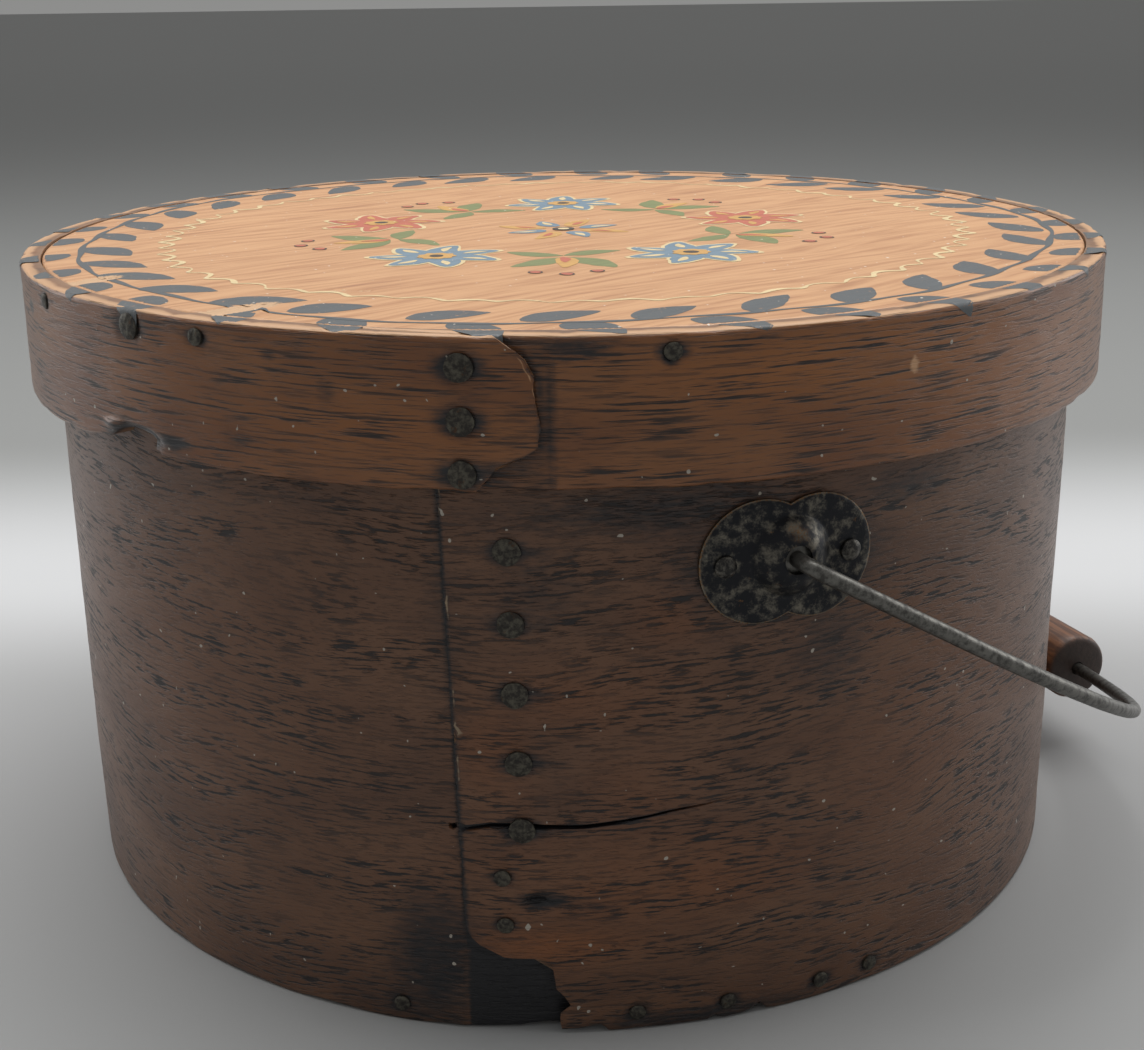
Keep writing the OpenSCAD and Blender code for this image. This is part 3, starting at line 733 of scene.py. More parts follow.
@dataclass
class BodyBand(BentBand):
    """The box's wall, with a broken corner at the foot of its lap and a long crack."""

    nails: Sequence[tuple[float, float, float]] = ()

    def rows(self) -> Array:
        """Close rows at the edges, the broken corner and the crack."""
        fine = [0, 0.15, 0.4, 0.8, 1.3, 7.4, 8.0, 8.6, 9.2, 19.2, 19.55, 19.7, 19.85, 20.0, 20.4, 21.0]
        fine += [51.2, 51.7, 52.0, 52.2, 52.4, 52.6, 52.8, 53.0, 53.3, 53.8]
        fine += [self.height - e for e in (0, 0.15, 0.4, 0.8, 1.3)]
        plain = [v for v in np.arange(2.2, self.height - 2, 1.6) if min(abs(v - f) for f in fine) > 0.45]
        rows = sorted(fine + plain)
        spare = (len(rows) - 1) % 4
        middle = [i for i, v in enumerate(rows) if 100 < v < 140][:spare]
        return np.array([v for i, v in enumerate(rows) if i not in middle])

    def end_shift(self, v: Array) -> Array:
        """A leaning seam, slightly rough, and the broken corner at its foot."""
        lean = -(v - self.height / 2) * math.tan(math.radians(1.6))
        rough = Unevenness(3.1, 0.28, 8).at(v, v * 0) + Unevenness(0.9, 0.12, 9).at(v, v * 0)
        nick = 1.6 * np.exp(-(((v - 75.2) / 1.3) ** 2))
        foot = [0, 3.2, 6.4, 7.4, 8.0, 8.6, 9.2, 12, 16.4, 19.2, 19.6, 19.9, 21.4, 23.5, 26.0, 28.0]
        away = [20.6, 20.4, 20.6, 23.0, 25.0, 24.2, 22.2, 19.6, 19.4, 18.8, 18.0, 8.6, 5.6, 1.9, 0.3, 0]
        return lean + rough + nick + np.interp(v, foot, away, right=0)

    def crack_height(self, arc: Array) -> Array:
        """Height of the crack above its left end."""
        return np.interp(arc, [-26, -18, -7, 2, 12, 22, 32, 47], [-0.4, 1.0, 0.6, 0.6, 1.5, 3.1, 4.2, 5.8])

    def lift(self, arc: Array, v: Array, layer: Array) -> Array:
        """The crack's path, and chips along the bottom edge."""
        near = (1 - fade(abs(v - 52.5), 2.5, 16)) * (layer < 0.5) * (arc > -27) * (1 - fade(arc, 55, 80))
        chips = np.maximum(Unevenness(5.5, 3.4, 21).at(arc, arc * 0) - 1.0, 0)
        chips = chips * fade(arc, -20, -2) * (1 - fade(arc, 40, 60)) + 0.25 * np.maximum(
            Unevenness(8, 1.5, 22).at(arc, arc * 0), 0)
        return near * self.crack_height(arc) + chips * (1 - fade(v, 0, 7))

    def relief(self, arc: Array, v: Array, layer: Array) -> Array:
        """Gentle waviness, dents round the nails, the crack and the hole by the lap."""
        push = Unevenness(34, 0.22, 5).at(arc, v) + Unevenness(7, 0.06, 6).at(arc, v * 2.2)
        for a, z, r in self.nails:
            gone = np.hypot(arc - a, v - z)
            push = push + 0.35 * (1 - fade(gone, r * 0.9, r * 1.9))
        line = 52.5 + self.crack_height(arc)
        width = np.interp(arc, [-26, -6, 12, 24, 47], [0.55, 0.5, 0.3, 0.16, 0.08])
        depth = np.interp(arc, [-26, 12, 30, 47], [2.2, 1.6, 0.6, 0.2]) * (arc > -27) * (arc < 47)
        push = push + depth * (1 - fade(abs(v - line) / width, 0.3, 1.3)) * (layer < 0.5)
        push = push + 1.6 * fade(Blot(-8.2, 34.6, 3.4, 1.5).at(arc, v), 0.3, 0.8)
        return push * (1 - fade(abs(v - self.height / 2), self.height / 2 - 1, self.height / 2))

    def marks(self, arc: Array, v: Array, layer: Array) -> Array:
        """Where the oak is stained black, rubbed warm or bare, with painted shadow under the lid's rim, painted shade
        in the lap's seam and a painted highlight on the seam's edge.
        """
        stains = [Blot(a, z, 2.1 * r, 1.25 * r, 1.1) for a, z, r in self.nails]
        stains += [Blot(a + 2, z, 4.2 * r, 0.8 * r, 0.8) for a, z, r in self.nails if r > 2.5]
        # Painted shadow: the blots at heights 124 to 126 (arcs 20, 80 and -60) darken the wall under the lid's rim. The
        # blots at heights 2 and 4 (arcs 30 and -40) darken the foot.
        stains += [
            Blot(48, 112, 31, 17, 1.05), Blot(60, 90, 17, 26, 0.62), Blot(20, 126, 52, 9, 0.75),
            Blot(-6, 110, 18, 20, 0.58), Blot(-27, 100, 9, 40, 0.5), Blot(-32, 18, 16, 26, 0.85),
            Blot(-7, 34.6, 8, 2.6, 1.1), Blot(4, 33, 12, 2.2, 0.7), Blot(-40, 4, 24, 6, 0.55),
            Blot(30, 2, 40, 3.5, 0.75), Blot(80, 124, 22, 7, 0.7), Blot(45, 60, 26, 16, 0.42),
            Blot(-60, 126, 50, 5, 0.5), Blot(-78, 110, 10, 10, 0.35),
        ]
        stain_and_shade = blotted(stains, arc, v)
        seam = self.seam * math.pi / 180 * self.radius - (v - self.height / 2) * math.tan(math.radians(1.6))
        beside = arc - seam
        # Painted shade in the lap, with a dark joint: a dark line along the seam, and black on the layer tucked under
        # it.
        stain_and_shade = np.maximum(stain_and_shade, 0.95 * np.exp(-((beside / 1.1) ** 2)))
        stain_and_shade = np.maximum(stain_and_shade, 1.4 * (layer > 0.5) * (beside > 0.4))
        line = 52.5 + self.crack_height(arc)
        open_ = np.interp(arc, [-26, 12, 24, 50], [1.5, 1.3, 0.8, 0.0]) * (arc > -27) * (layer < 0.5)
        stain_and_shade = np.maximum(stain_and_shade, open_ * np.exp(-(((v - line) / 0.7) ** 2)))
        # Slightly darker towards the top and bottom edges.
        stain_and_shade = stain_and_shade + 0.10 * fade(abs(v - 78), 60, 78)
        warm = blotted([
            Blot(-4, 23, 22, 5.5, 1.0), Blot(16, 38, 40, 12, 0.75), Blot(-17, 70, 9, 16, 0.6), Blot(2, 84, 26, 9, 0.5),
            Blot(22, 101, 9, 7, 0.45), Blot(16, 62, 14, 12, 0.4), Blot(90, 60, 40, 40, 0.35), Blot(-110, 80, 60, 40, 0.25),
        ], arc, v)
        # Pale line down the upper seam edge: dust in the crack and a painted highlight on the edge.
        bare = 0.9 * np.exp(-(((beside - 0.5) / 0.35) ** 2)) * (layer < 0.5) * (v > 60)
        bare = np.maximum(bare, blotted([Blot(-24.5, 75.2, 1.8, 1.2, 1.0)], arc, v))
        bare = np.maximum(bare, 0.5 * (1 - fade(v, 0, 1.4)))
        return np.stack([stain_and_shade, warm, bare], -1)


@dataclass
class LidBand(BentBand):
    """The lid's rim, with a rough rounded lap end and a splintered knot."""

    nails: Sequence[tuple[float, float, float]] = ()

    def rows(self) -> Array:
        """Close rows throughout, closest at the edges."""
        ends = [0, 0.15, 0.4, 0.8, 1.3]
        inner = list(np.arange(2.1, self.height - 1.6, 0.8))
        rows = ends + inner + [self.height - e for e in ends[::-1]]
        spare = (len(rows) - 1) % 4
        return np.array([v for i, v in enumerate(rows) if not (20 <= i < 20 + spare)])

    def end_shift(self, v: Array) -> Array:
        """The rough, rounded end of the outer layer."""
        height = [0, 0.7, 5.4, 7.2, 9.5, 13.5, 18.5, 24.1, 29.1, 31.0, 32.5]
        away = [16.2, 15.4, 12.4, 7.4, 3.8, 2.7, 3.4, 4.4, 6.9, 10.0, 12.2]
        rough = Unevenness(1.7, 0.5, 31).at(v, v * 0) + Unevenness(0.6, 0.22, 32).at(v, v * 0)
        return np.interp(v, height, away) + rough

    def lift(self, arc: Array, v: Array, layer: Array) -> Array:
        """The knot broken out of the lower edge, and small chips along both edges."""
        knot = 3.6 * np.exp(-(((arc + 106) / 7.5) ** 4)) + 1.6 * np.exp(-(((arc + 116) / 9) ** 2))
        chips = np.maximum(Unevenness(6, 0.9, 41).at(arc, arc * 0), 0) * 0.5
        down = np.maximum(Unevenness(4.3, 1.0, 42).at(arc, arc * 0) - 0.25, 0) * 0.5
        return (knot + chips) * (1 - fade(v, 0, 8)) - down * fade(v, self.height - 2.0, self.height)

    def relief(self, arc: Array, v: Array, layer: Array) -> Array:
        """Gentle waviness, dents round the nails, a hollow at the knot and two shallow scores."""
        push = Unevenness(30, 0.25, 51).at(arc, v) + Unevenness(5, 0.07, 52).at(arc, v * 3)
        for a, z, r in self.nails:
            push = push + 0.35 * (1 - fade(np.hypot(arc - a, v - z), r * 0.9, r * 1.8))
        push = push + 2.6 * fade(Blot(-104, 3.5, 9.5, 3.2).at(arc, v), 0.35, 0.9)
        push = push - 0.9 * fade(Blot(-113, 5.0, 5, 1.6).at(arc, v), 0.3, 0.9)
        push = push + 0.8 * fade(Blot(21, 27.3, 1.6, 1.6).at(arc, v), 0.3, 0.9)
        push = push + 0.5 * np.exp(-(((arc + 3.7) / 0.55) ** 2)) * (v < 30)
        return push

    def marks(self, arc: Array, v: Array, layer: Array) -> Array:
        """Where the rim is stained, worn or bare, with painted shade in the lap's seam."""
        stains = [Blot(a, z, 2.4 * r, 1.35 * r, 1.15) for a, z, r in self.nails]
        stains += [
            Blot(-106, 3.0, 12, 4.0, 1.3), Blot(-92, 4.0, 8, 3, 0.9), Blot(21, 27.4, 2.2, 2.0, 1.3), Blot(-63, 26.5, 3, 2, 0.7),
            Blot(-50, 19.5, 3.4, 5.5, 0.62), Blot(-73, 7.5, 6, 4, 0.65), Blot(-3.7, 14, 1.0, 26, 0.95), Blot(2, 30, 14, 4, 0.8),
            Blot(-16, 5, 20, 3.2, 0.75), Blot(-8, 15, 26, 16, 0.42), Blot(-20, 20, 12, 14, 0.5), Blot(6, 20, 12, 12, 0.35),
            Blot(-82, 30, 26, 2.4, 0.5), Blot(40, 30.5, 12, 1.6, 0.5), Blot(57, 7, 3, 4, 0.35), Blot(84, 8, 2.4, 5, 0.35),
            Blot(102, 20, 4, 2.5, 0.4), Blot(-126, 30, 16, 3, 0.3), Blot(-160, 25, 3, 2.6, 1.1),
        ]
        stain_and_shade = blotted(stains, arc, v)
        end = -2.3 - np.interp(v, [0, 5.4, 9.5, 18.5, 24, 29, 32.5], [15.8, 12.4, 3.8, 3.4, 4.4, 7, 12.2])
        beyond = arc - end
        # Painted shade in the lap, with a dark joint: a dark line beside the lap's end, and a darker layer tucked under
        # it.
        stain_and_shade = np.maximum(stain_and_shade, 0.8 * np.exp(-(((beyond - 1.0) / 1.3) ** 2)))
        stain_and_shade = np.maximum(stain_and_shade, 0.6 * (layer > 0.5) * np.ones_like(arc))
        warm = blotted([Blot(60, 24, 60, 9, 0.8), Blot(-40, 12, 30, 9, 0.5), Blot(-14, 13, 8, 8, 0.5), Blot(110, 16, 50, 16, 0.5)], arc, v)
        plug = Blot(77.2, 20.9, 1.9, 2.8, 0.95).at(arc, v)
        bare = np.maximum(plug, 0.75 * np.exp(-(((beyond + 0.3) / 0.4) ** 2)) * fade(v, 15, 22) * (layer < 0.5))
        top = fade(v, self.height - 0.75, self.height - 0.1)
        bare = np.maximum(bare, 1.15 * top)
        return np.stack([stain_and_shade * (1 - top), warm, bare], -1)


# Lid board and its painting


@dataclass(frozen=True)
class LidSurface:
    """The lid's top, which the board and its paint both follow."""

    top: float = 165.0
    board: float = 139.5
    rim_from: float = 139.8
    rim_edge: float = 145.0
    bevel: float = 1.0

    def scars(self, x: Array, y: Array) -> Array:
        """Share of torn raw wood at each place."""
        total = np.zeros(np.broadcast(x, y).shape)
        for cx, cy, turn, long, wide, k in (
            (-112.0, -72.5, 47, 8.0, 3.0, 1.2), (-72.0, -113.5, 42, 12.5, 3.4, 1.25), (-51.5, -91.0, 20, 3.2, 0.9, 0.9),
            (-45.0, -92.0, 8, 1.8, 0.8, 0.8), (-117, 98, 50, 12, 3.0, 0.6),
        ):
            c, s = math.cos(math.radians(turn)), math.sin(math.radians(turn))
            along, across = (x - cx) * c + (y - cy) * s, (y - cy) * c - (x - cx) * s
            total = np.maximum(total, k * np.exp(-((along / long) ** 4) - (across / wide) ** 2))
        return total

    def sink(self, x: Array, y: Array) -> Array:
        """How far the surface lies under the flat top."""
        low = 0.10 + Unevenness(42, 0.10, 61).at(x, y) + Unevenness(9, 0.03, 62).at(x, y * 2)
        torn = fade(self.scars(x, y), 0.45, 0.8)
        low = low + torn * (0.45 + Unevenness(1.6, 0.22, 63).at(x, y))
        splinter = np.exp(-(((x + 64.5) / 1.6) ** 2) - ((y + 116) / 5.5) ** 2)
        return low - 0.55 * fade(splinter, 0.35, 0.8)

    def hug(self, x: Array, y: Array, over: Array) -> Array:
        """Places flat points on the lid, folded down over its rim.

        Args:
            x: Places across the lid.
            y: Places along the lid.
            over: Height above the wood.

        Returns:
            One point for each place.
        """
        r, turn = np.hypot(x, y), np.arctan2(y, x)
        start = self.rim_edge - self.bevel
        past = np.maximum(r - start, 0.0)
        bend = np.minimum(past / self.bevel, math.pi / 2)
        fall = np.maximum(past - self.bevel * math.pi / 2, 0)
        radius = np.minimum(r, start) + (self.bevel + over) * np.sin(bend)
        flat = np.where(r > self.rim_from, self.rim_sink(x, y), self.sink(x, y)) * np.cos(bend)
        z = self.top - flat + over * np.cos(bend) - self.bevel * (1 - np.cos(bend)) - fall
        return np.stack([radius * np.cos(turn), radius * np.sin(turn), z], -1)

    def rim_sink(self, x: Array, y: Array) -> Array:
        """How far the rim's flat top lies under the full height."""
        return np.zeros(np.broadcast(x, y).shape)


@dataclass
class LidBoard:
    """The round pine board in the lid."""

    surface: LidSurface
    thickness: float = 7.9
    segments: int = 420
    ring_gap: float = 1.0

    def build(self) -> bpy.types.Object:
        """Builds the board with its scars.

        Returns:
            The piece that stands for the CAD node.
        """
        r = self.surface.board
        rings = np.concatenate([np.arange(1.2, r - 1.0, self.ring_gap), [r - 0.75, r - 0.3, r - 0.05]])
        turn = np.arange(self.segments) / self.segments * 2 * math.pi
        radius, angle = np.meshgrid(rings, turn, indexing="ij")
        x, y = radius * np.cos(angle), radius * np.sin(angle)
        edge = np.maximum(radius - (r - 0.8), 0)
        z = self.surface.top - self.surface.sink(x, y) - 0.55 * (edge / 0.75) ** 2
        low = self.surface.top - self.thickness
        side = [(r, self.surface.top - 1.2), (r, low + 0.4), (r - 0.4, low), (r * 0.5, low)]
        under = np.stack([np.stack([q * np.cos(turn), q * np.sin(turn), np.full_like(turn, h)], -1) for q, h in side])
        points = np.concatenate([np.stack([x, y, z], -1), under]).reshape(-1, 3)
        n, m = len(rings) + len(side), self.segments
        faces = [(i * m + j, i * m + (j + 1) % m, (i + 1) * m + (j + 1) % m, (i + 1) * m + j)
                 for i in range(n - 1) for j in range(m)]
        middle, below = len(points), len(points) + 1
        centre = float(self.surface.top - self.surface.sink(np.zeros(1), np.zeros(1))[0])
        points = np.concatenate([points, [[0, 0, centre], [0, 0, low]]])
        faces += [(middle, (j + 1) % m, j) for j in range(m)]
        faces += [(below, (n - 1) * m + j, (n - 1) * m + (j + 1) % m) for j in range(m)]
        torn = self.surface.scars(points[:, 0], points[:, 1]) * (points[:, 2] > self.surface.top - 2)
        marks = np.stack([torn, torn * 0, torn * 0], -1)
        mesh = solid_mesh(points, faces, PineFinish("lid_pine").make(), True, marks=marks)
        return placed("lid_top_board", mesh, Body.LID, "lid_pine", "lid_board", angle=50)


@dataclass(frozen=True)
class Stroke:
    """One shape of paint: its outline in mm on the lid, and the coat that it lies in."""

    outline: tuple[tuple[float, float], ...]
    coat: int = 1


def petal(x: float, y: float, turn: float, long: float, wide: float, coat: int = 1, tip: float = 1.0) -> Stroke:
    """A petal or leaf from its foot at (x, y), pointing along turn in degrees.

    Args:
        x: Foot of the petal.
        y: Foot of the petal.
        turn: Its direction in degrees.
        long: Its length.
        wide: Its width.
        coat: The coat of paint.
        tip: 1 for a pointed tip, less for a rounder one.

    Returns:
        The shape.
    """
    c, s = math.cos(math.radians(turn)), math.sin(math.radians(turn))
    points = []
    for i in range(28):
        t = i / 27 * 2
        side, t = (1, t) if t <= 1 else (-1, 2 - t)
        half = side * wide / 2 * math.sin(math.pi * t ** (0.55 + 0.35 * tip)) ** (0.55 + 0.4 * tip)
        u, w = t * long, half + 0.06 * long * math.sin(math.pi * t)
        points.append((x + u * c - w * s, y + u * s + w * c))
    return Stroke(tuple(points), coat)


def disc(x: float, y: float, r: float, coat: int = 1, lobes: int = 0) -> Stroke:
    """A round spot, plain or scalloped."""
    points = []
    for i in range(36):
        a = i / 36 * 2 * math.pi
        q = r * (1 + (0.09 * math.cos(lobes * a) if lobes else 0))
        points.append((x + q * math.cos(a), y + q * math.sin(a)))
    return Stroke(tuple(points), coat)


@dataclass
class Painting:
    """The lid's painted ornament: a vine border, a wavy line and a wreath of round blossoms."""

    surface: LidSurface
    leaves: int = 33
    stem_radius: float = 131.0
    wave_radius: float = 109.0
    waves: int = 62
    wreath_radius: float = 55.0
    coat_height: float = 0.035
    slate: Colour = (0.075, 0.085, 0.090)
    blue: Colour = (0.16, 0.235, 0.30)
    cream: Colour = (0.72, 0.56, 0.30)
    ochre: Colour = (0.60, 0.33, 0.085)
    green: Colour = (0.19, 0.215, 0.075)
    brick: Colour = (0.50, 0.125, 0.065)
    umber: Colour = (0.045, 0.030, 0.020)
    strokes: dict[str, list[Stroke]] = field(default_factory=dict)

    def border_leaves(self) -> bpy.types.Mesh:
        """Leaf blades on both sides of the stem, made by Geometry Nodes on points.

        Returns:
            A flat mesh of the blades, at height zero.
        """
        rng = np.random.default_rng(17)
        spots, turns, scales = [], [], []
        for i in range(self.leaves):
            for outside in (0, 1):
                a = (i + 0.42 * outside + rng.uniform(-0.08, 0.08)) / self.leaves * 360 + 3.5
                away = 50 + rng.uniform(-7, 7)
                long, wide = rng.uniform(18.5, 22.0), rng.uniform(8.6, 10.8)
                foot = self.stem_radius + (1.6 if outside else -1.2)
                if outside:
                    away, long = 180 - away + 8, long * 0.92
                front = (a + 90) % 360
                if outside and min(abs(front - 27.5), abs(front - 37.5)) < 4.5:
                    away, long = 160, 17.5
                spots.append((foot * math.cos(math.radians(a)) * MM, foot * math.sin(math.radians(a)) * MM, 0.0))
                turns.append((0.0, 0.0, math.radians(a + 180 - away)))
                scales.append((long * MM, wide * MM, 1.0))
        tree = GeoTree("leaf_blades", {"Bend": 0.10, "Ragged": 0.9 * MM, "Seed": 4.0})
        blade = tree.add("GeometryNodeMeshGrid", {}, {"Size X": 1.0, "Size Y": 1.0, "Vertices X": 25, "Vertices Y": 9})
        here = tree.add("GeometryNodeInputPosition", {}, {})
        split = tree.tree.nodes.new("ShaderNodeSeparateXYZ")
        tree.tree.links.new(here, split.inputs[0])
        t = tree.math("ADD", split.outputs[0], 0.5)
        t = tree.math("MINIMUM", tree.math("MAXIMUM", t, 0.0001), 0.9999)
        swell = tree.math("SINE", tree.math("MULTIPLY", tree.math("POWER", t, 0.78), math.pi))
        swell = tree.math("POWER", tree.math("MAXIMUM", swell, 0.0), 0.8)
        bow = tree.math("MULTIPLY", tree.math("SINE", tree.math("MULTIPLY", t, math.pi)), tree.size("Bend"))
        across = tree.math("ADD", tree.math("MULTIPLY", split.outputs[1], swell), bow)
        shaped = tree.add("GeometryNodeSetPosition", {}, {"Geometry": blade, "Position": tree.vector(t, across, 0.0)})
        points = tree.add("GeometryNodeMeshToPoints", {}, {"Mesh": tree.source.outputs[0]})
        turn = tree.add("FunctionNodeEulerToRotation", {}, {0: tree.named("turn")})
        laid = tree.add("GeometryNodeInstanceOnPoints", {},
                        {"Points": points, "Instance": shaped, "Rotation": turn, "Scale": tree.named("size")})
        real = tree.add("GeometryNodeRealizeInstances", {}, {"Geometry": laid})
        ragged = tree.roughened(real, tree.size("Ragged"), 260.0, tree.size("Seed"))
        tree.close(ragged, PineFinish("paint_slate", paint=self.slate, worn=0.62).make())
        return tree.run(points_mesh(spots, turn=turns, size=scales))

    def laid(self, mesh: bpy.types.Mesh, coat: int) -> bpy.types.Mesh:
        """Lays a flat mesh on the lid, parted where the gap round the board runs under it."""
        flat = np.zeros(len(mesh.vertices) * 3, np.float32)
        mesh.vertices.foreach_get("co", flat)
        flat = flat.reshape(-1, 3)[:, :2] / MM
        r = np.hypot(flat[:, 0], flat[:, 1])
        near, far = self.surface.board - 0.75, self.surface.rim_from + 0.35
        inside = r < (near + far) / 2
        new = np.where(inside, np.minimum(r, near), np.maximum(r, far))
        flat = flat * (new / np.maximum(r, 1e-6))[:, None]
        spots = self.surface.hug(flat[:, 0], flat[:, 1], np.full(len(flat), coat * self.coat_height))
        mesh.vertices.foreach_set("co", (spots * MM).astype(np.float32).ravel())
        torn = self.surface.scars(flat[:, 0], flat[:, 1])
        layer = mesh.attributes.new("marks", "FLOAT_VECTOR", "POINT")
        layer.data.foreach_set("vector", np.stack([torn, torn * 0, torn * 0], -1).astype(np.float32).ravel())
        work = bmesh.new()
        work.from_mesh(mesh)
        work.verts.ensure_lookup_table()
        across = [f for f in work.faces if len({bool(inside[v.index]) for v in f.verts}) > 1]
        bare = [f for f in work.faces if all(torn[v.index] > 0.62 for v in f.verts)]
        bmesh.ops.delete(work, geom=list(set(across + bare)), context="FACES")
        bmesh.ops.remove_doubles(work, verts=work.verts, dist=1e-7)
        for face in work.faces:
            out = Vector((face.calc_center_median().x, face.calc_center_median().y, 0)).normalized()
            if face.normal.dot(out + Vector((0, 0, 1))) < 0:
                face.normal_flip()
        work.to_mesh(mesh)
        work.free()
        mesh.update()
        return mesh

    def ribbon(self, points: Array, width: float, finish: PineFinish, swell: Sequence[float]) -> bpy.types.Mesh:
        """A painted line along points, made by Geometry Nodes as a flat band."""
        tree = GeoTree("painted_line", {"Width": width * MM})
        line = tree.add("GeometryNodeMeshToCurve", {}, {"Mesh": tree.source.outputs[0]})
        line = tree.add("GeometryNodeSetCurveRadius", {}, {"Curve": line, "Radius": 1.0})
        profile = tree.add("GeometryNodeCurvePrimitiveLine", {}, {
            0: tree.vector(tree.math("MULTIPLY", tree.size("Width"), -0.5), 0.0, 0.0),
            1: tree.vector(tree.math("MULTIPLY", tree.size("Width"), 0.5), 0.0, 0.0)})
        profile = tree.add("GeometryNodeResampleCurve", {}, {"Curve": profile, "Count": 4})
        band = tree.add("GeometryNodeCurveToMesh", {}, {"Curve": line, "Profile Curve": profile, "Scale": tree.named("swell", "FLOAT")})
        tree.close(band, finish.make())
        rows = [(x * MM, y * MM, 0.0) for x, y in points]
        return tree.run(points_mesh(rows, True, swell=list(swell)))

    def stem(self) -> Array:
        """Places along the vine's stem."""
        a = np.linspace(0, 2 * math.pi, 620)
        r = self.stem_radius + 1.5 * np.sin(3 * a + 0.6) + 0.9 * np.sin(7 * a + 2.0) + 0.3 * np.sin(33 * a)
        return np.stack([r * np.cos(a), r * np.sin(a)], -1)

    def wave(self) -> Array:
        """Places along the wavy line, which is tighter at the sides."""
        a = np.linspace(0, 2 * math.pi, 1500)
        tight = 0.55 + 0.6 * np.cos(a) ** 2
        phase = self.waves * a + 1.5 * np.sin(2 * a)
        r = self.wave_radius + 1.7 * tight * np.sin(phase) + 1.2 * np.sin(5 * a + 1) + 0.5 * np.sin(phase * 0.5)
        b = a + 0.006 * np.cos(phase)
        return np.stack([r * np.cos(b), r * np.sin(b)], -1)

    def put(self, colour: str, *shapes: Stroke) -> None:
        """Adds shapes in one colour."""
        self.strokes.setdefault(colour, []).extend(shapes)

    def blossom(self, x: float, y: float, size: float, petals: int, turn: float, warm: bool) -> None:
        """A round blossom seen from above, with its petals lined in cream."""
        main = "brick" if warm else "blue"
        self.put("cream", disc(x, y, 0.60 * size, 2))
        for i in range(petals):
            a = turn + 360 * i / petals
            c, s = math.cos(math.radians(a)), math.sin(math.radians(a))
            foot = (x + 0.16 * size * c, y + 0.16 * size * s)
            self.put("cream", petal(*foot, a - 3, 0.92 * size, 0.56 * size, 2, 0.2))
            self.put(main, petal(*foot, a - 3, 0.84 * size, 0.46 * size, 3, 0.2))
            dab = "ochre" if warm else "cream"
            self.put(dab, petal(x + 0.42 * size * c, y + 0.42 * size * s, a - 3, 0.42 * size, 0.13 * size, 4, 1.0))
        self.put("ochre", disc(x, y, 0.27 * size, 5, 9))
        self.put("umber", disc(x, y, 0.11 * size, 6))

    def sprig(self, x: float, y: float, turn: float, size: float) -> None:
        """A pair of green leaves with a middle bud and three berries."""
        self.put("green", petal(x, y, turn + 38, 1.25 * size, 0.46 * size, 1, 1.0))
        self.put("green", petal(x, y, turn - 44, 1.15 * size, 0.44 * size, 1, 1.0))
        self.put("ochre", petal(x, y, turn, 0.95 * size, 0.34 * size, 2, 0.5))
        self.put("brick", petal(x, y, turn, 0.5 * size, 0.16 * size, 3, 0.5))
        for i, off in enumerate((-18, 2, 21)):
            a = math.radians(turn + off)
            reach = (1.32 + 0.12 * (i % 2)) * size
            self.put("umber", disc(x + reach * math.cos(a), y + reach * math.sin(a), 0.115 * size, 2))
            self.put("brick", disc(x + reach * math.cos(a), y + reach * math.sin(a), 0.085 * size, 3))

    def wreath(self) -> None:
        """Five blossoms in a ring, with sprigs between them and a small rosette in the middle."""
        for i in range(5):
            a = 90 + 72 * i
            c, s = math.cos(math.radians(a)), math.sin(math.radians(a))
            self.blossom(self.wreath_radius * c, self.wreath_radius * s, 17.5, 7, a, i in (1, 4))
            b = a + 36
            c, s = math.cos(math.radians(b)), math.sin(math.radians(b))
            r = self.wreath_radius
            self.sprig((r - 6) * c, (r - 6) * s, b, 17)
            self.put("green", petal((r - 8) * c, (r - 8) * s, b + 118, 17, 6.2, 1, 1.0))
            self.put("green", petal((r - 8) * c, (r - 8) * s, b - 118, 17, 6.2, 1, 1.0))
        for i in range(8):
            a = 22.5 + 45 * i
            c, s = math.cos(math.radians(a)), math.sin(math.radians(a))
            self.put("ochre" if i % 2 else "blue", petal(5 * c, 5 * s, a, 15 if i % 2 else 12, 5.6, 2, 0.4))
            self.put("cream" if i % 2 == 0 else "brick", petal(8 * c, 8 * s, a, 7, 2.0, 3, 0.8))
        self.put("umber", disc(0, 0, 3.2, 4))
        self.put("cream", disc(0, 0, 1.7, 5))

    def flat(self, strokes: Sequence[Stroke], material: bpy.types.Material) -> bpy.types.Mesh:
        """A mesh of painted shapes, each a fan of rings round its middle, laid on the lid."""
        spots, heights, faces = [], [], []
        wobble = Unevenness(2.6, 0.28, 77)
        for stroke in strokes:
            ring = np.array(stroke.outline)
            middle = ring.mean(0)
            base, n = len(spots), len(ring)
            for share in (1.0, 0.66, 0.33):
                spots += list(middle + (ring - middle) * share)
            spots.append(middle)
            heights += [stroke.coat] * (3 * n + 1)
            for k in range(2):
                faces += [(base + k * n + j, base + k * n + (j + 1) % n, base + (k + 1) * n + (j + 1) % n, base + (k + 1) * n + j)
                          for j in range(n)]
            faces += [(base + 2 * n + j, base + 2 * n + (j + 1) % n, base + 3 * n) for j in range(n)]
        flat = np.array(spots)
        flat = flat + np.stack([wobble.at(flat[:, 0], flat[:, 1]), wobble.at(flat[:, 1], flat[:, 0])], -1)
        points = self.surface.hug(flat[:, 0], flat[:, 1], np.array(heights) * self.coat_height)
        torn = self.surface.scars(flat[:, 0], flat[:, 1])
        mesh = solid_mesh(points, faces, material, False, marks=np.stack([torn, torn * 0, torn * 0], -1))
        work = bmesh.new()
        work.from_mesh(mesh)
        for face in work.faces:
            if face.normal.z < 0:
                face.normal_flip()
        work.to_mesh(mesh)
        work.free()
        return mesh

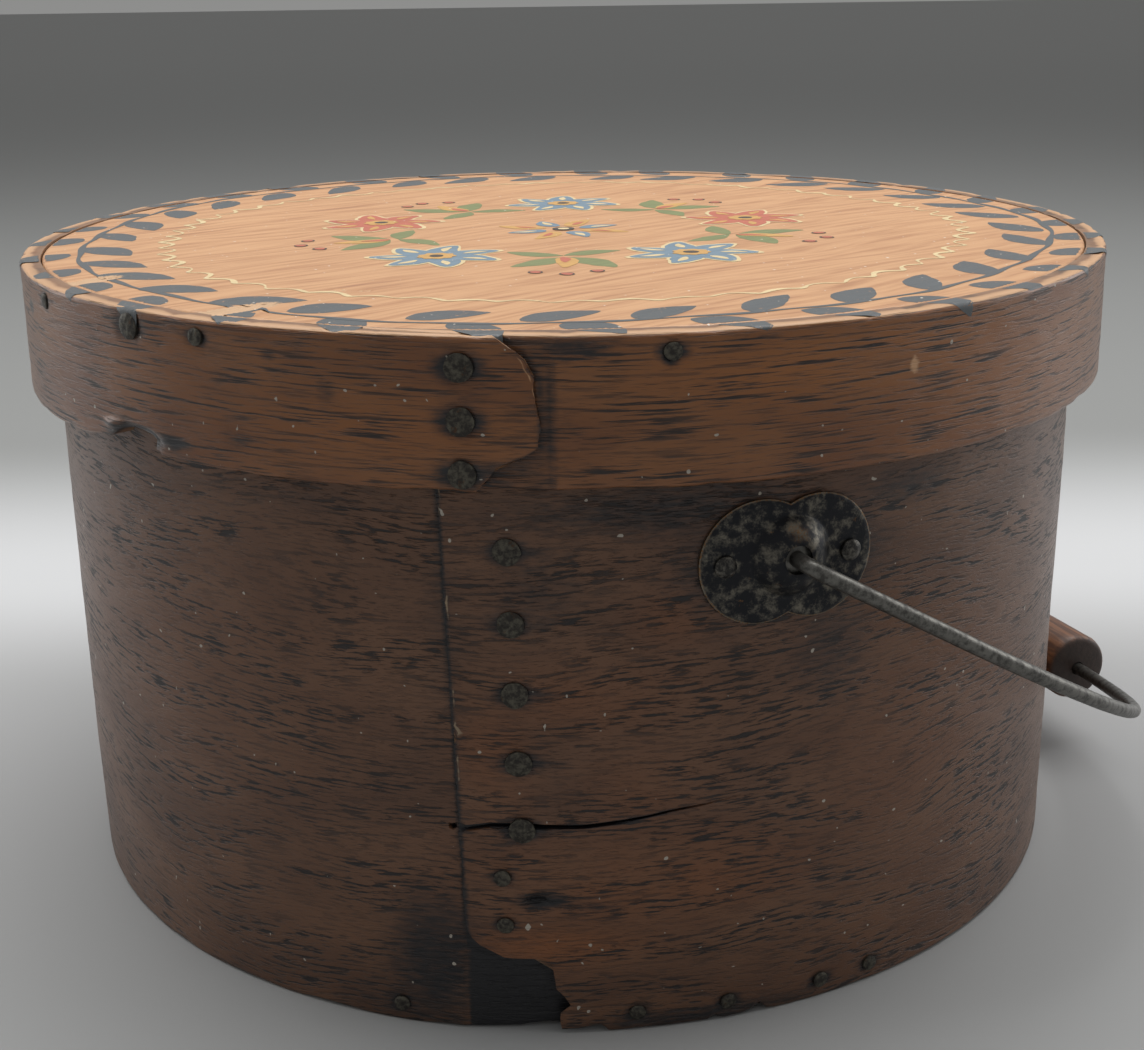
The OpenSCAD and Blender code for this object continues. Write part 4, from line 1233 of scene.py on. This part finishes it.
    def build(self) -> None:
        """Paints the lid, one piece for each colour."""
        placed("painted_border", self.laid(self.border_leaves(), 1), Body.LID, "lid_pine")
        stem = self.stem()
        swell = 1 + 0.35 * np.sin(np.arange(len(stem)) * 0.31)
        line = self.ribbon(stem, 1.5, PineFinish("paint_stem", paint=self.slate, worn=0.5), swell)
        placed("painted_stem", self.laid(line, 2), Body.LID, "lid_pine")
        wave = self.wave()
        swell = 0.9 + 0.35 * np.sin(np.arange(len(wave)) * 0.083) + 0.2 * np.sin(np.arange(len(wave)) * 0.41)
        line = self.ribbon(wave, 1.25, PineFinish("paint_line", paint=self.cream, worn=0.3), swell)
        placed("painted_wave", self.laid(line, 2), Body.LID, "lid_pine")
        self.wreath()
        for colour, strokes in self.strokes.items():
            finish = PineFinish("paint_" + colour, paint=getattr(self, colour), worn=0.3)
            placed("painted_" + colour, self.flat(strokes, finish.make()), Body.LID, "lid_pine")


# Metal and grip


@dataclass
class NailRun:
    """Nails of one kind, driven into a wall at given places."""

    name: str
    node: str
    body: Body
    places: Sequence[tuple[float, float, float]]
    head: float
    shank: float
    length: float
    head_height: float = 1.0
    clinch: float = 0.0
    wood: float = 0.0
    seed: float = 1.0

    def build(self, material: bpy.types.Material) -> bpy.types.Object:
        """Builds the nails by Geometry Nodes on points.

        Args:
            material: The nails' finish.

        Returns:
            The piece that stands for the CAD node.
        """
        tree = GeoTree(self.name, {
            "Head": self.head * MM, "Head Height": self.head_height * MM, "Shank": self.shank * MM,
            "Length": self.length * MM, "Clinch": self.clinch * MM, "Wood": self.wood * MM,
            "Rough": 0.42 * MM, "Seed": self.seed})
        reach = tree.math("MULTIPLY", tree.size("Head"), 0.5)
        tall = tree.size("Head Height")
        head = tree.add("GeometryNodeMeshCylinder", {"fill_type": "TRIANGLE_FAN"}, {
            "Vertices": 26, "Side Segments": 2, "Fill Segments": 5, "Radius": reach, "Depth": tall})
        head = tree.add("GeometryNodeTransform", {}, {"Geometry": head, "Translation": tree.vector(0.0, 0.0, tree.math("MULTIPLY", tall, 0.5))})
        here = tree.add("GeometryNodeInputPosition", {}, {})
        split = tree.tree.nodes.new("ShaderNodeSeparateXYZ")
        tree.tree.links.new(here, split.inputs[0])
        out = tree.math("SQRT", tree.math("ADD", tree.math("POWER", split.outputs[0], 2.0), tree.math("POWER", split.outputs[1], 2.0)))
        out = tree.math("POWER", tree.math("DIVIDE", out, reach), 4.0)
        high = tree.math("GREATER_THAN", split.outputs[2], tree.math("MULTIPLY", tall, 0.6))
        drop = tree.math("MULTIPLY", tree.math("MULTIPLY", out, high), tree.math("MULTIPLY", tall, -0.32))
        head = tree.add("GeometryNodeSetPosition", {}, {"Geometry": head, "Offset": tree.vector(0.0, 0.0, drop)})
        shank = tree.add("GeometryNodeMeshCylinder", {}, {
            "Vertices": 12, "Radius": tree.math("MULTIPLY", tree.size("Shank"), 0.5), "Depth": tree.size("Length")})
        shank = tree.add("GeometryNodeTransform", {}, {"Geometry": shank, "Translation": tree.vector(0.0, 0.0, tree.math("MULTIPLY", tree.size("Length"), -0.5))})
        parts = [head, shank]
        if self.clinch:
            tip = tree.add("GeometryNodeMeshCylinder", {}, {
                "Vertices": 10, "Side Segments": 4, "Radius": tree.math("MULTIPLY", tree.size("Shank"), 0.45), "Depth": tree.size("Clinch")})
            turned = tree.add("FunctionNodeEulerToRotation", {}, {0: (0.0, math.pi / 2, 0.0)})
            parts.append(tree.add("GeometryNodeTransform", {}, {
                "Geometry": tip, "Rotation": turned,
                "Translation": tree.vector(tree.math("MULTIPLY", tree.size("Clinch"), 0.5), 0.0,
                                           tree.math("MULTIPLY", tree.size("Wood"), -1.0))}))
        whole = tree.add("GeometryNodeJoinGeometry", {}, {"Geometry": parts})
        points = tree.add("GeometryNodeMeshToPoints", {}, {"Mesh": tree.source.outputs[0]})
        turn = tree.add("FunctionNodeEulerToRotation", {}, {0: tree.named("turn")})
        driven = tree.add("GeometryNodeInstanceOnPoints", {}, {"Points": points, "Instance": whole, "Rotation": turn})
        real = tree.add("GeometryNodeRealizeInstances", {}, {"Geometry": driven})
        tree.close(tree.roughened(real, tree.size("Rough"), 420.0, tree.size("Seed")), material)
        spots, turns = [], []
        rng = np.random.default_rng(int(self.seed))
        for angle, r, z in self.places:
            a = math.radians(angle)
            spots.append((r * math.sin(a) * MM, -r * math.cos(a) * MM, z * MM))
            tip = rng.uniform(-0.05, 0.05), math.pi / 2 + rng.uniform(-0.05, 0.05)
            turns.append((tip[0], tip[1], a - math.pi / 2))
        return placed(self.name, tree.run(points_mesh(spots, turn=turns)), self.body, "nail_iron", self.node, angle=38)


@dataclass
class StampedEar:
    """A sheet ear of two lobes with a round boss that the bail turns in."""

    name: str
    node: str
    angle: float
    wall: float = 138.3
    middle: float = 112.5
    hinge: float = 113.5
    lobe: float = 14.0
    lobe_out: float = 6.65
    boss: float = 9.25
    boss_height: float = 6.0
    sheet: float = 1.0
    hole: float = 3.25
    seed: int = 91

    def outline(self, turn: Array) -> Array:
        """Distance from the boss's middle to the ear's edge in each direction."""
        best = np.zeros_like(turn)
        for side in (-1, 1):
            cx, cy = side * self.lobe_out, self.middle - self.hinge
            along = cx * np.cos(turn) + cy * np.sin(turn)
            best = np.maximum(best, along + np.sqrt(self.lobe**2 - (cx**2 + cy**2 - along**2)))
        return best

    def build(self, material: bpy.types.Material) -> bpy.types.Object:
        """Builds the ear as a closed sheet.

        Args:
            material: The ear's finish.

        Returns:
            The piece that stands for the CAD node.
        """
        m = 128
        turn = np.arange(m) / m * 2 * math.pi
        edge = self.outline(turn)
        inner = self.hole + (10.4 - self.hole) * np.linspace(0, 1, 20) ** 1.1
        rings = [np.full(m, q) for q in inner]
        rings += [10.4 + (edge - 10.4) * t for t in (0.2, 0.45, 0.7, 0.85, 0.93, 0.98, 1.0)]
        radius = np.array(rings)
        t, z = radius * np.cos(turn), radius * np.sin(turn)
        ball = (self.boss**2 + (self.boss_height - self.sheet) ** 2) / (2 * (self.boss_height - self.sheet))
        dome = np.sqrt(np.maximum(ball**2 - radius**2, 0)) - (ball - (self.boss_height - self.sheet))
        soft = 0.5 * (dome + np.sqrt(dome**2 + 0.35))
        soft = soft - 0.30 * np.exp(-(((radius - self.hole) / 0.5) ** 2))
        near = (edge - radius) * np.ones_like(radius)
        dents = Unevenness(6, 0.16, self.seed).at(t, z) * fade(radius, 8, 11)
        flat = np.sqrt(self.wall**2 - t**2)
        top = flat + self.sheet + soft - 0.35 * np.exp(-((near / 0.45) ** 2)) * (radius > 9) + dents * 0.5
        low = top - np.where(radius > 9, self.sheet - 0.05, 0.85)
        x = np.concatenate([top, low[::-1]])
        points = np.stack([x, np.concatenate([t, t[::-1]]), self.hinge + np.concatenate([z, z[::-1]])], -1)
        n = len(points)
        faces = [(i * m + j, i * m + (j + 1) % m, ((i + 1) % n) * m + (j + 1) % m, ((i + 1) % n) * m + j)
                 for i in range(n) for j in range(m)]
        # Bright metal along the edge, rubbed and also a painted highlight; a painted highlight on the top of the boss;
        # rubbed metal round the hole.
        worn = np.exp(-((near / 0.5) ** 2)) * 0.9
        worn = np.maximum(worn, 0.75 * np.exp(-(((t - 0.5) / 4.0) ** 2) - ((z - 5.5) / 3.0) ** 2))
        worn = np.maximum(worn, 0.45 * np.exp(-(((radius - self.hole) / 1.2) ** 2)))
        marks = np.concatenate([worn, worn[::-1]])
        marks = np.stack([marks, marks * 0, marks * 0], -1)
        a = math.radians(self.angle - 90)
        c, s = math.cos(a), math.sin(a)
        flat_points = points.reshape(-1, 3)
        turned = np.stack([flat_points[:, 0] * c - flat_points[:, 1] * s, flat_points[:, 0] * s + flat_points[:, 1] * c, flat_points[:, 2]], -1)
        mesh = solid_mesh(turned, faces, material, True, marks=marks.reshape(-1, 3))
        return placed(self.name, mesh, Body.BOX, "ear_metal", self.node, angle=50)


@dataclass
class Bail:
    """The wire bail: hooks in both ears, straight arms, round shoulders and the grip's seat."""

    ear_angle: float = 20.0
    hinge: float = 113.5
    rest: float = 30.0847
    wire: float = 3.6
    head_x: float = 140.57
    hook: float = 4.4
    arm: float = 149.0
    shoulder: float = 132.102
    shoulder_y: float = 44.08
    reach: float = 172.024
    kink: float = 15.0
    kink_r: float = 10.0
    grip_half: float = 48.5

    def half(self) -> list[tuple[float, float]]:
        """Places along half of the wire, in its own plane."""
        path = [(self.head_x, 0.0), (self.head_x + 1.5, 0.0), (self.head_x + 1.7, 0.0), (self.head_x + 2.8, 0.0)]
        for a in np.linspace(-90, 0, 10):
            path.append((self.arm - self.hook + self.hook * math.cos(math.radians(a)),
                         self.hook + self.hook * math.sin(math.radians(a))))
        for y in np.linspace(self.hook, self.shoulder_y, 10)[1:-1]:
            path.append((self.arm, float(y)))
        for a in np.linspace(0, 90 - self.kink, 40):
            path.append((self.arm - self.shoulder + self.shoulder * math.cos(math.radians(a)),
                         self.shoulder_y + self.shoulder * math.sin(math.radians(a))))
        for a in np.linspace(90 - self.kink, 90, 7)[1:]:
            path.append((self.grip_half + self.kink_r * math.cos(math.radians(a)),
                         self.reach - self.kink_r + self.kink_r * math.sin(math.radians(a))))
        return path

    def axes(self) -> tuple[Vector, Vector]:
        """Directions of the hinge line and of the wire's reach, at rest."""
        a, down = math.radians(self.ear_angle - 90), math.radians(self.rest)
        across = Vector((math.cos(a), math.sin(a), 0))
        outward = Vector((-math.sin(a), math.cos(a), 0))
        return across, outward * math.cos(down) - Vector((0, 0, 1)) * math.sin(down)

    def build(self, material: bpy.types.Material) -> bpy.types.Object:
        """Builds the wire by Geometry Nodes along its path.

        Args:
            material: The wire's finish.

        Returns:
            The piece that stands for the CAD node.
        """
        half = self.half()
        path = half + [(-x, y) for x, y in reversed(half)]
        across, out = self.axes()
        centre = Vector((0, 0, self.hinge))
        swell = [1.0] * len(path)
        for i in (0, 1, -1, -2):
            swell[i] = 2.2
        spots = [tuple((centre + across * x + out * y) * MM) for x, y in path]
        tree = GeoTree("wire_bail", {"Diameter": self.wire * MM, "Hammered": 0.10 * MM, "Seed": 2.0})
        line = tree.add("GeometryNodeMeshToCurve", {}, {"Mesh": tree.source.outputs[0]})
        line = tree.add("GeometryNodeSetCurveRadius", {}, {"Curve": line, "Radius": 1.0})
        ring = tree.add("GeometryNodeCurvePrimitiveCircle", {}, {
            "Resolution": 20, "Radius": tree.math("MULTIPLY", tree.size("Diameter"), 0.5)})
        tube = tree.add("GeometryNodeCurveToMesh", {}, {
            "Curve": line, "Profile Curve": ring, "Scale": tree.named("swell", "FLOAT"), "Fill Caps": True})
        tree.close(tree.roughened(tube, tree.size("Hammered"), 90.0, tree.size("Seed")), material)
        return placed("bail", tree.run(points_mesh(spots, True, swell=swell)), Body.BAIL, "bail_steel", "bail_wire")


@dataclass
class Grip:
    """The turned wooden grip on the bail."""

    bail: Bail
    radius: float = 10.35
    length: float = 95.0
    bore: float = 2.1

    def build(self) -> bpy.types.Object:
        """Builds the grip as a turned solid with its bore.

        Returns:
            The piece that stands for the CAD node.
        """
        r, half = self.radius, self.length / 2
        ends = [(self.bore, half), (r * 0.45, half + 0.0), (r - 2.0, half - 0.15), (r - 1.0, half - 0.45), (r - 0.35, half - 1.1), (r, half - 2.2)]
        body = [(r, q) for q in np.linspace(half - 5, 5 - half, 30)]
        back = [(q, -h) for q, h in reversed(ends)]
        bore = [(self.bore, q) for q in np.linspace(-half, half, 6)[1:-1]]
        profile = np.array(ends + body + back + bore)
        m = 72
        turn = np.arange(m) / m * 2 * math.pi
        radius = profile[:, 0][:, None] * np.ones((1, m))
        run = profile[:, 1][:, None] * np.ones((1, m))
        outer = radius > r - 1.2
        radius = radius + outer * (Unevenness(14, 0.12, 71).at(run, turn * 6) + Unevenness(3.2, 0.05, 72).at(run, turn * 3) - 0.12)
        across, out = self.bail.axes()
        up = across.cross(out)
        centre = Vector((0, 0, self.bail.hinge)) + out * self.bail.reach
        c, a, b = (np.array(v) for v in (centre, across, out))
        points = c + run[..., None] * a + (radius * np.cos(turn))[..., None] * b + (radius * np.sin(turn))[..., None] * np.array(up)
        n = len(profile)
        faces = [(i * m + j, i * m + (j + 1) % m, ((i + 1) % n) * m + (j + 1) % m, ((i + 1) % n) * m + j)
                 for i in range(n) for j in range(m)]
        end = fade(abs(run), half - 1.6, half - 0.3)
        marks = np.stack([end, end * 0, end * 0], -1)
        finish = TurnedFinish("grip_wood", tuple(across))
        mesh = solid_mesh(points.reshape(-1, 3), faces, finish.make(), True, marks=marks.reshape(-1, 3))
        return placed("turned_grip", mesh, Body.HANDLE, "grip_wood", "grip", angle=35)


# Stage


@dataclass(frozen=True)
class PhotoCamera:
    """The photograph's viewpoint, as fitted to the box's outlines."""

    place: tuple[float, float, float] = (0.0, -0.47415, 0.23309)
    yaw: float = 0.0026
    pitch: float = 0.3158
    roll: float = -0.0143
    focal_px: float = 1694.0
    width_px: int = 1144

    def build(self) -> None:
        """Makes the scene's camera."""
        data = bpy.data.cameras.new("photo_camera")
        data.sensor_width = 36.0
        data.lens = self.focal_px / self.width_px * data.sensor_width
        data.clip_start, data.clip_end = 0.01, 50.0
        camera = bpy.data.objects.new("photo_camera", data)
        bpy.context.scene.collection.objects.link(camera)
        cy, sy, cp, sp = math.cos(self.yaw), math.sin(self.yaw), math.cos(self.pitch), math.sin(self.pitch)
        ahead = Vector((sy * cp, cy * cp, -sp))
        right = Vector((cy, -sy, 0.0))
        up = right.cross(ahead)
        cr, sr = math.cos(self.roll), math.sin(self.roll)
        right, up = cr * right + sr * up, cr * up - sr * right
        turn = Matrix((right, up, -ahead)).transposed().to_4x4()
        camera.matrix_world = Matrix.Translation(self.place) @ turn
        bpy.context.scene.camera = camera


@dataclass(frozen=True)
class Lamp:
    """A soft box lamp."""

    name: str
    place: tuple[float, float, float]
    aim: tuple[float, float, float]
    size: tuple[float, float]
    power: float

    def build(self) -> None:
        """Hangs the lamp."""
        data = bpy.data.lights.new(self.name, "AREA")
        data.shape, data.size, data.size_y, data.energy = "RECTANGLE", *self.size, self.power
        lamp = bpy.data.objects.new(self.name, data)
        bpy.context.scene.collection.objects.link(lamp)
        lamp.location = self.place
        lamp.rotation_euler = (Vector(self.aim) - Vector(self.place)).to_track_quat("-Z", "Y").to_euler()


@dataclass(frozen=True)
class Studio:
    """A pale floor with painted light on it, plain soft light and a grey surround."""

    surround: float = 0.34
    seen: Colour = (0.27, 0.27, 0.265)
    lamps: tuple[Lamp, ...] = (
        Lamp("overhead", (0.0, 0.28, 1.25), (0.0, 0.02, 0.1), (1.5, 1.1), 19.0),
        Lamp("left_wall", (-1.3, 0.55, 0.55), (0.0, 0.0, 0.1), (0.9, 1.0), 5.0),
        Lamp("right_wall", (1.3, 0.45, 0.55), (0.0, 0.0, 0.1), (0.9, 1.0), 6.5),
    )

    def floor(self) -> None:
        """Lays the floor, with painted light in its colour: a bright band just behind the box and painted shade farther
        back, easing to grey far away.
        """
        s = Shader("floor", Roughness=0.75)
        x, y, z = s.place()
        # Painted light: a bright band 60 to 175 mm behind the box, then painted shade from 190 to 400 mm.
        colour = s.mix(s.ramp(y, -160.0, 40.0), (0.345, 0.348, 0.345), (0.36, 0.362, 0.362))
        colour = s.mix(s.ramp(y, 60.0, 175.0), colour, (0.52, 0.525, 0.53))
        colour = s.mix(s.ramp(y, 190.0, 400.0), colour, (0.235, 0.238, 0.232))
        colour = s.mix(s.ramp(y, 900.0, 5000.0), colour, (0.27, 0.272, 0.265))
        s.finish(colour, 0.75)
        mesh = bpy.data.meshes.new("floor")
        mesh.from_pydata([(-9, -9, 0), (9, -9, 0), (9, 12, 0), (-9, 12, 0)], [], [(0, 1, 2, 3)])
        mesh.materials.append(s.material)
        floor = bpy.data.objects.new("floor", mesh)
        bpy.context.scene.collection.objects.link(floor)

    def build(self) -> None:
        """Sets the stage."""
        self.floor()
        for lamp in self.lamps:
            lamp.build()
        world = bpy.data.worlds.new("studio")
        bpy.context.scene.world = world
        world.use_nodes = True
        nodes, links = world.node_tree.nodes, world.node_tree.links
        back = nodes["Background"]
        path, mixed = nodes.new("ShaderNodeLightPath"), nodes.new("ShaderNodeMix")
        mixed.data_type = "RGBA"
        mixed.inputs[6].default_value = (self.surround,) * 3 + (1.0,)
        mixed.inputs[7].default_value = (*self.seen, 1.0)
        links.new(path.outputs["Is Camera Ray"], mixed.inputs[0])
        links.new(mixed.outputs[2], back.inputs["Color"])
        bpy.context.scene.view_settings.view_transform = "Standard"


@dataclass
class BentwoodBox:
    """The whole box, as laid out by its maker."""

    radius: float = 138.2
    body_height: float = 157.0
    body_step: float = 1.1
    body_lap: float = 50.0
    body_seam: float = -10.7
    lean: float = 1.6
    lid_radius: float = 145.0
    lid_foot: float = 132.5
    lid_lap: float = 55.0
    lid_step: float = 1.3
    lid_seam: float = -0.9
    head_sink: float = 0.5

    def lap_face(self, radius: float, lap: float, step: float, seam: float, angle: float) -> float:
        """Radius of a lap's outer face at an angle in degrees."""
        offset = step * radius / lap
        turn = math.radians(angle - seam) - lap / radius / 2
        face = math.hypot(radius + step / 2, offset)
        return -offset * math.sin(turn) + math.sqrt(face**2 - (offset * math.cos(turn)) ** 2)

    def body_places(self, heights: Sequence[float], inset: float) -> list[tuple[float, float, float]]:
        """Angle, radius and height of nails down the body's lap."""
        found = []
        for z in heights:
            seam = self.body_seam - math.degrees((z - self.body_height / 2) * math.tan(math.radians(self.lean)) / self.radius)
            a = seam + math.degrees(inset / self.radius)
            r = self.lap_face(self.radius, self.body_lap, self.body_step, self.body_seam, a) - self.head_sink
            found.append((a, r, z))
        return found

    def build(self) -> None:
        """Builds every piece and dresses the CAD nodes that stay."""
        iron = MetalFinish("nail_iron", (0.030, 0.026, 0.022), (0.10, 0.092, 0.070), (0.075, 0.036, 0.016), 0.55, 0.42, 0.22, 0.60, 1.3, 0.16).make()
        ear = MetalFinish("ear_metal", (0.020, 0.021, 0.024), (0.17, 0.155, 0.125), (0.20, 0.105, 0.045), 0.85, 0.34, 0.16, 0.66, 3.0, 0.10, True).make()
        wire = MetalFinish("bail_steel", (0.060, 0.057, 0.052), (0.16, 0.155, 0.14), (0.14, 0.068, 0.030), 0.80, 0.36, 0.30, 0.66, 2.0, 0.05).make()
        back = [98 + 36 * i for i in range(5)]
        tall = [28.3 + 24 + i * (117.5 - 52.3) / 4 for i in range(5)]
        large = self.body_places(tall, 14)
        small = self.body_places([28.3, 40.3], 9)
        foot = [(a, self.radius - self.head_sink, 4.5) for a in [-17, 6, 15, 25, 31] + back]
        lid_a = self.lid_seam - math.degrees(19 / self.lid_radius)
        lid_r = self.lap_face(self.lid_radius, self.lid_lap, self.lid_step, -self.lid_seam, -lid_a) - self.head_sink
        lid = [(lid_a, lid_r, z) for z in (136.2, 147.35, 158.5)]
        rim = [(a, self.lid_radius - self.head_sink, 161.05) for a in [-57.5, -32.5, 8.5] + back]
        spike = [(-41, self.lid_radius - self.head_sink, 161.05)]

        def on_strip(places: Sequence, radius: float, base: float, size: float) -> list:
            """Nails as arc, height above the strip's foot and head radius."""
            return [(math.radians(wrapped_angle(a)) * radius, z - base, size) for a, _, z in places]

        oak = OakFinish(
            "body_oak", (0.150, 0.068, 0.032), (0.100, 0.043, 0.020), (0.014, 0.009, 0.008), (0.210, 0.072, 0.020),
            (0.200, 0.110, 0.055), (0.30, 0.22, 0.14), 7.0, 46.0, (95.0, 62.0), (7.5, 0.85), 0.50, 0.60, 0.72, 0.36, 0.10)
        rim_oak = OakFinish(
            "rim_oak", (0.230, 0.088, 0.026), (0.155, 0.052, 0.014), (0.018, 0.009, 0.006), (0.330, 0.120, 0.026),
            (0.240, 0.130, 0.065), (0.52, 0.30, 0.155), 5.0, 9.0, (130.0, 40.0), (16.0, 0.75), 0.50, 0.62, 0.55, 0.33, 0.22)
        nails = on_strip(large, self.radius, 0, 3.0) + on_strip(small, self.radius, 0, 1.9) + on_strip(foot, self.radius, 0, 1.9)
        BodyBand("body_strip", "body_band", Body.BOX, "body_oak", self.radius, 4.9, self.body_height, 0.0,
                 self.body_lap, self.body_step, self.body_seam, 1, oak, nails=nails).build()
        nails = on_strip(lid, self.lid_radius, self.lid_foot, 3.0) + on_strip(spike, self.lid_radius, self.lid_foot, 3.0)
        nails += on_strip(rim, self.lid_radius, self.lid_foot, 1.9)
        LidBand("lid_strip", "lid_band", Body.LID, "rim_oak", self.lid_radius, 5.2, 32.5, self.lid_foot,
                self.lid_lap, self.lid_step, self.lid_seam, -1, rim_oak, nails=nails).build()
        NailRun("large_lap_nails", "lap_nails_large", Body.BOX, large, 6.0, 2.0, 7.3, 1.0, 4.0, 6.9, 1.0).build(iron)
        NailRun("small_lap_nails", "lap_nails_small", Body.BOX, small, 3.8, 1.5, 6.9, 1.0, 4.0, 6.6, 2.0).build(iron)
        NailRun("foot_nails", "bottom_nails", Body.BOX, foot, 3.8, 1.5, 14.0, 1.0, seed=3.0).build(iron)
        NailRun("rim_lap_nails", "lid_lap_nails", Body.LID, lid, 6.0, 2.0, 5.8, 1.0, seed=4.0).build(iron)
        NailRun("rim_small_nails", "lid_board_nails", Body.LID, rim, 3.8, 1.5, 14.0, 1.0, seed=5.0).build(iron)
        NailRun("rim_spike", "lid_spike", Body.LID, spike, 6.0, 2.0, 14.0, 1.0, seed=6.0).build(iron)
        surface = LidSurface()
        LidBoard(surface).build()
        Painting(surface).build()
        StampedEar("ear_front", "front_ear", 20.0).build(ear)
        StampedEar("ear_rear", "rear_ear", 200.0, seed=92).build(ear)
        bail = Bail()
        bail.build(wire)
        Grip(bail).build()
        rivet = MetalFinish("rivet_metal", (0.028, 0.027, 0.026), (0.15, 0.14, 0.12), (0.12, 0.06, 0.03), 0.8, 0.36, 0.22, 0.62, 1.5, 0.08).make()
        kept = {"bottom_board": BoardFinish().make(), "ear_rivets": rivet, "rivet_burrs": rivet}
        for node, material in kept.items():
            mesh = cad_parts[node].data
            mesh.materials.clear()
            mesh.materials.append(material)
            log.info("%s keeps its CAD shape", node)


def wrapped_angle(angle: float) -> float:
    """An angle in degrees from -180 to 180."""
    return (angle + 180) % 360 - 180


def main() -> None:
    """Builds the scene."""
    logging.basicConfig(level=logging.INFO, format="%(name)s: %(message)s")
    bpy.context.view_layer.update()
    PhotoCamera().build()
    Studio().build()
    BentwoodBox().build()
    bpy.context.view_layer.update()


if __name__ == "__main__":
    main()
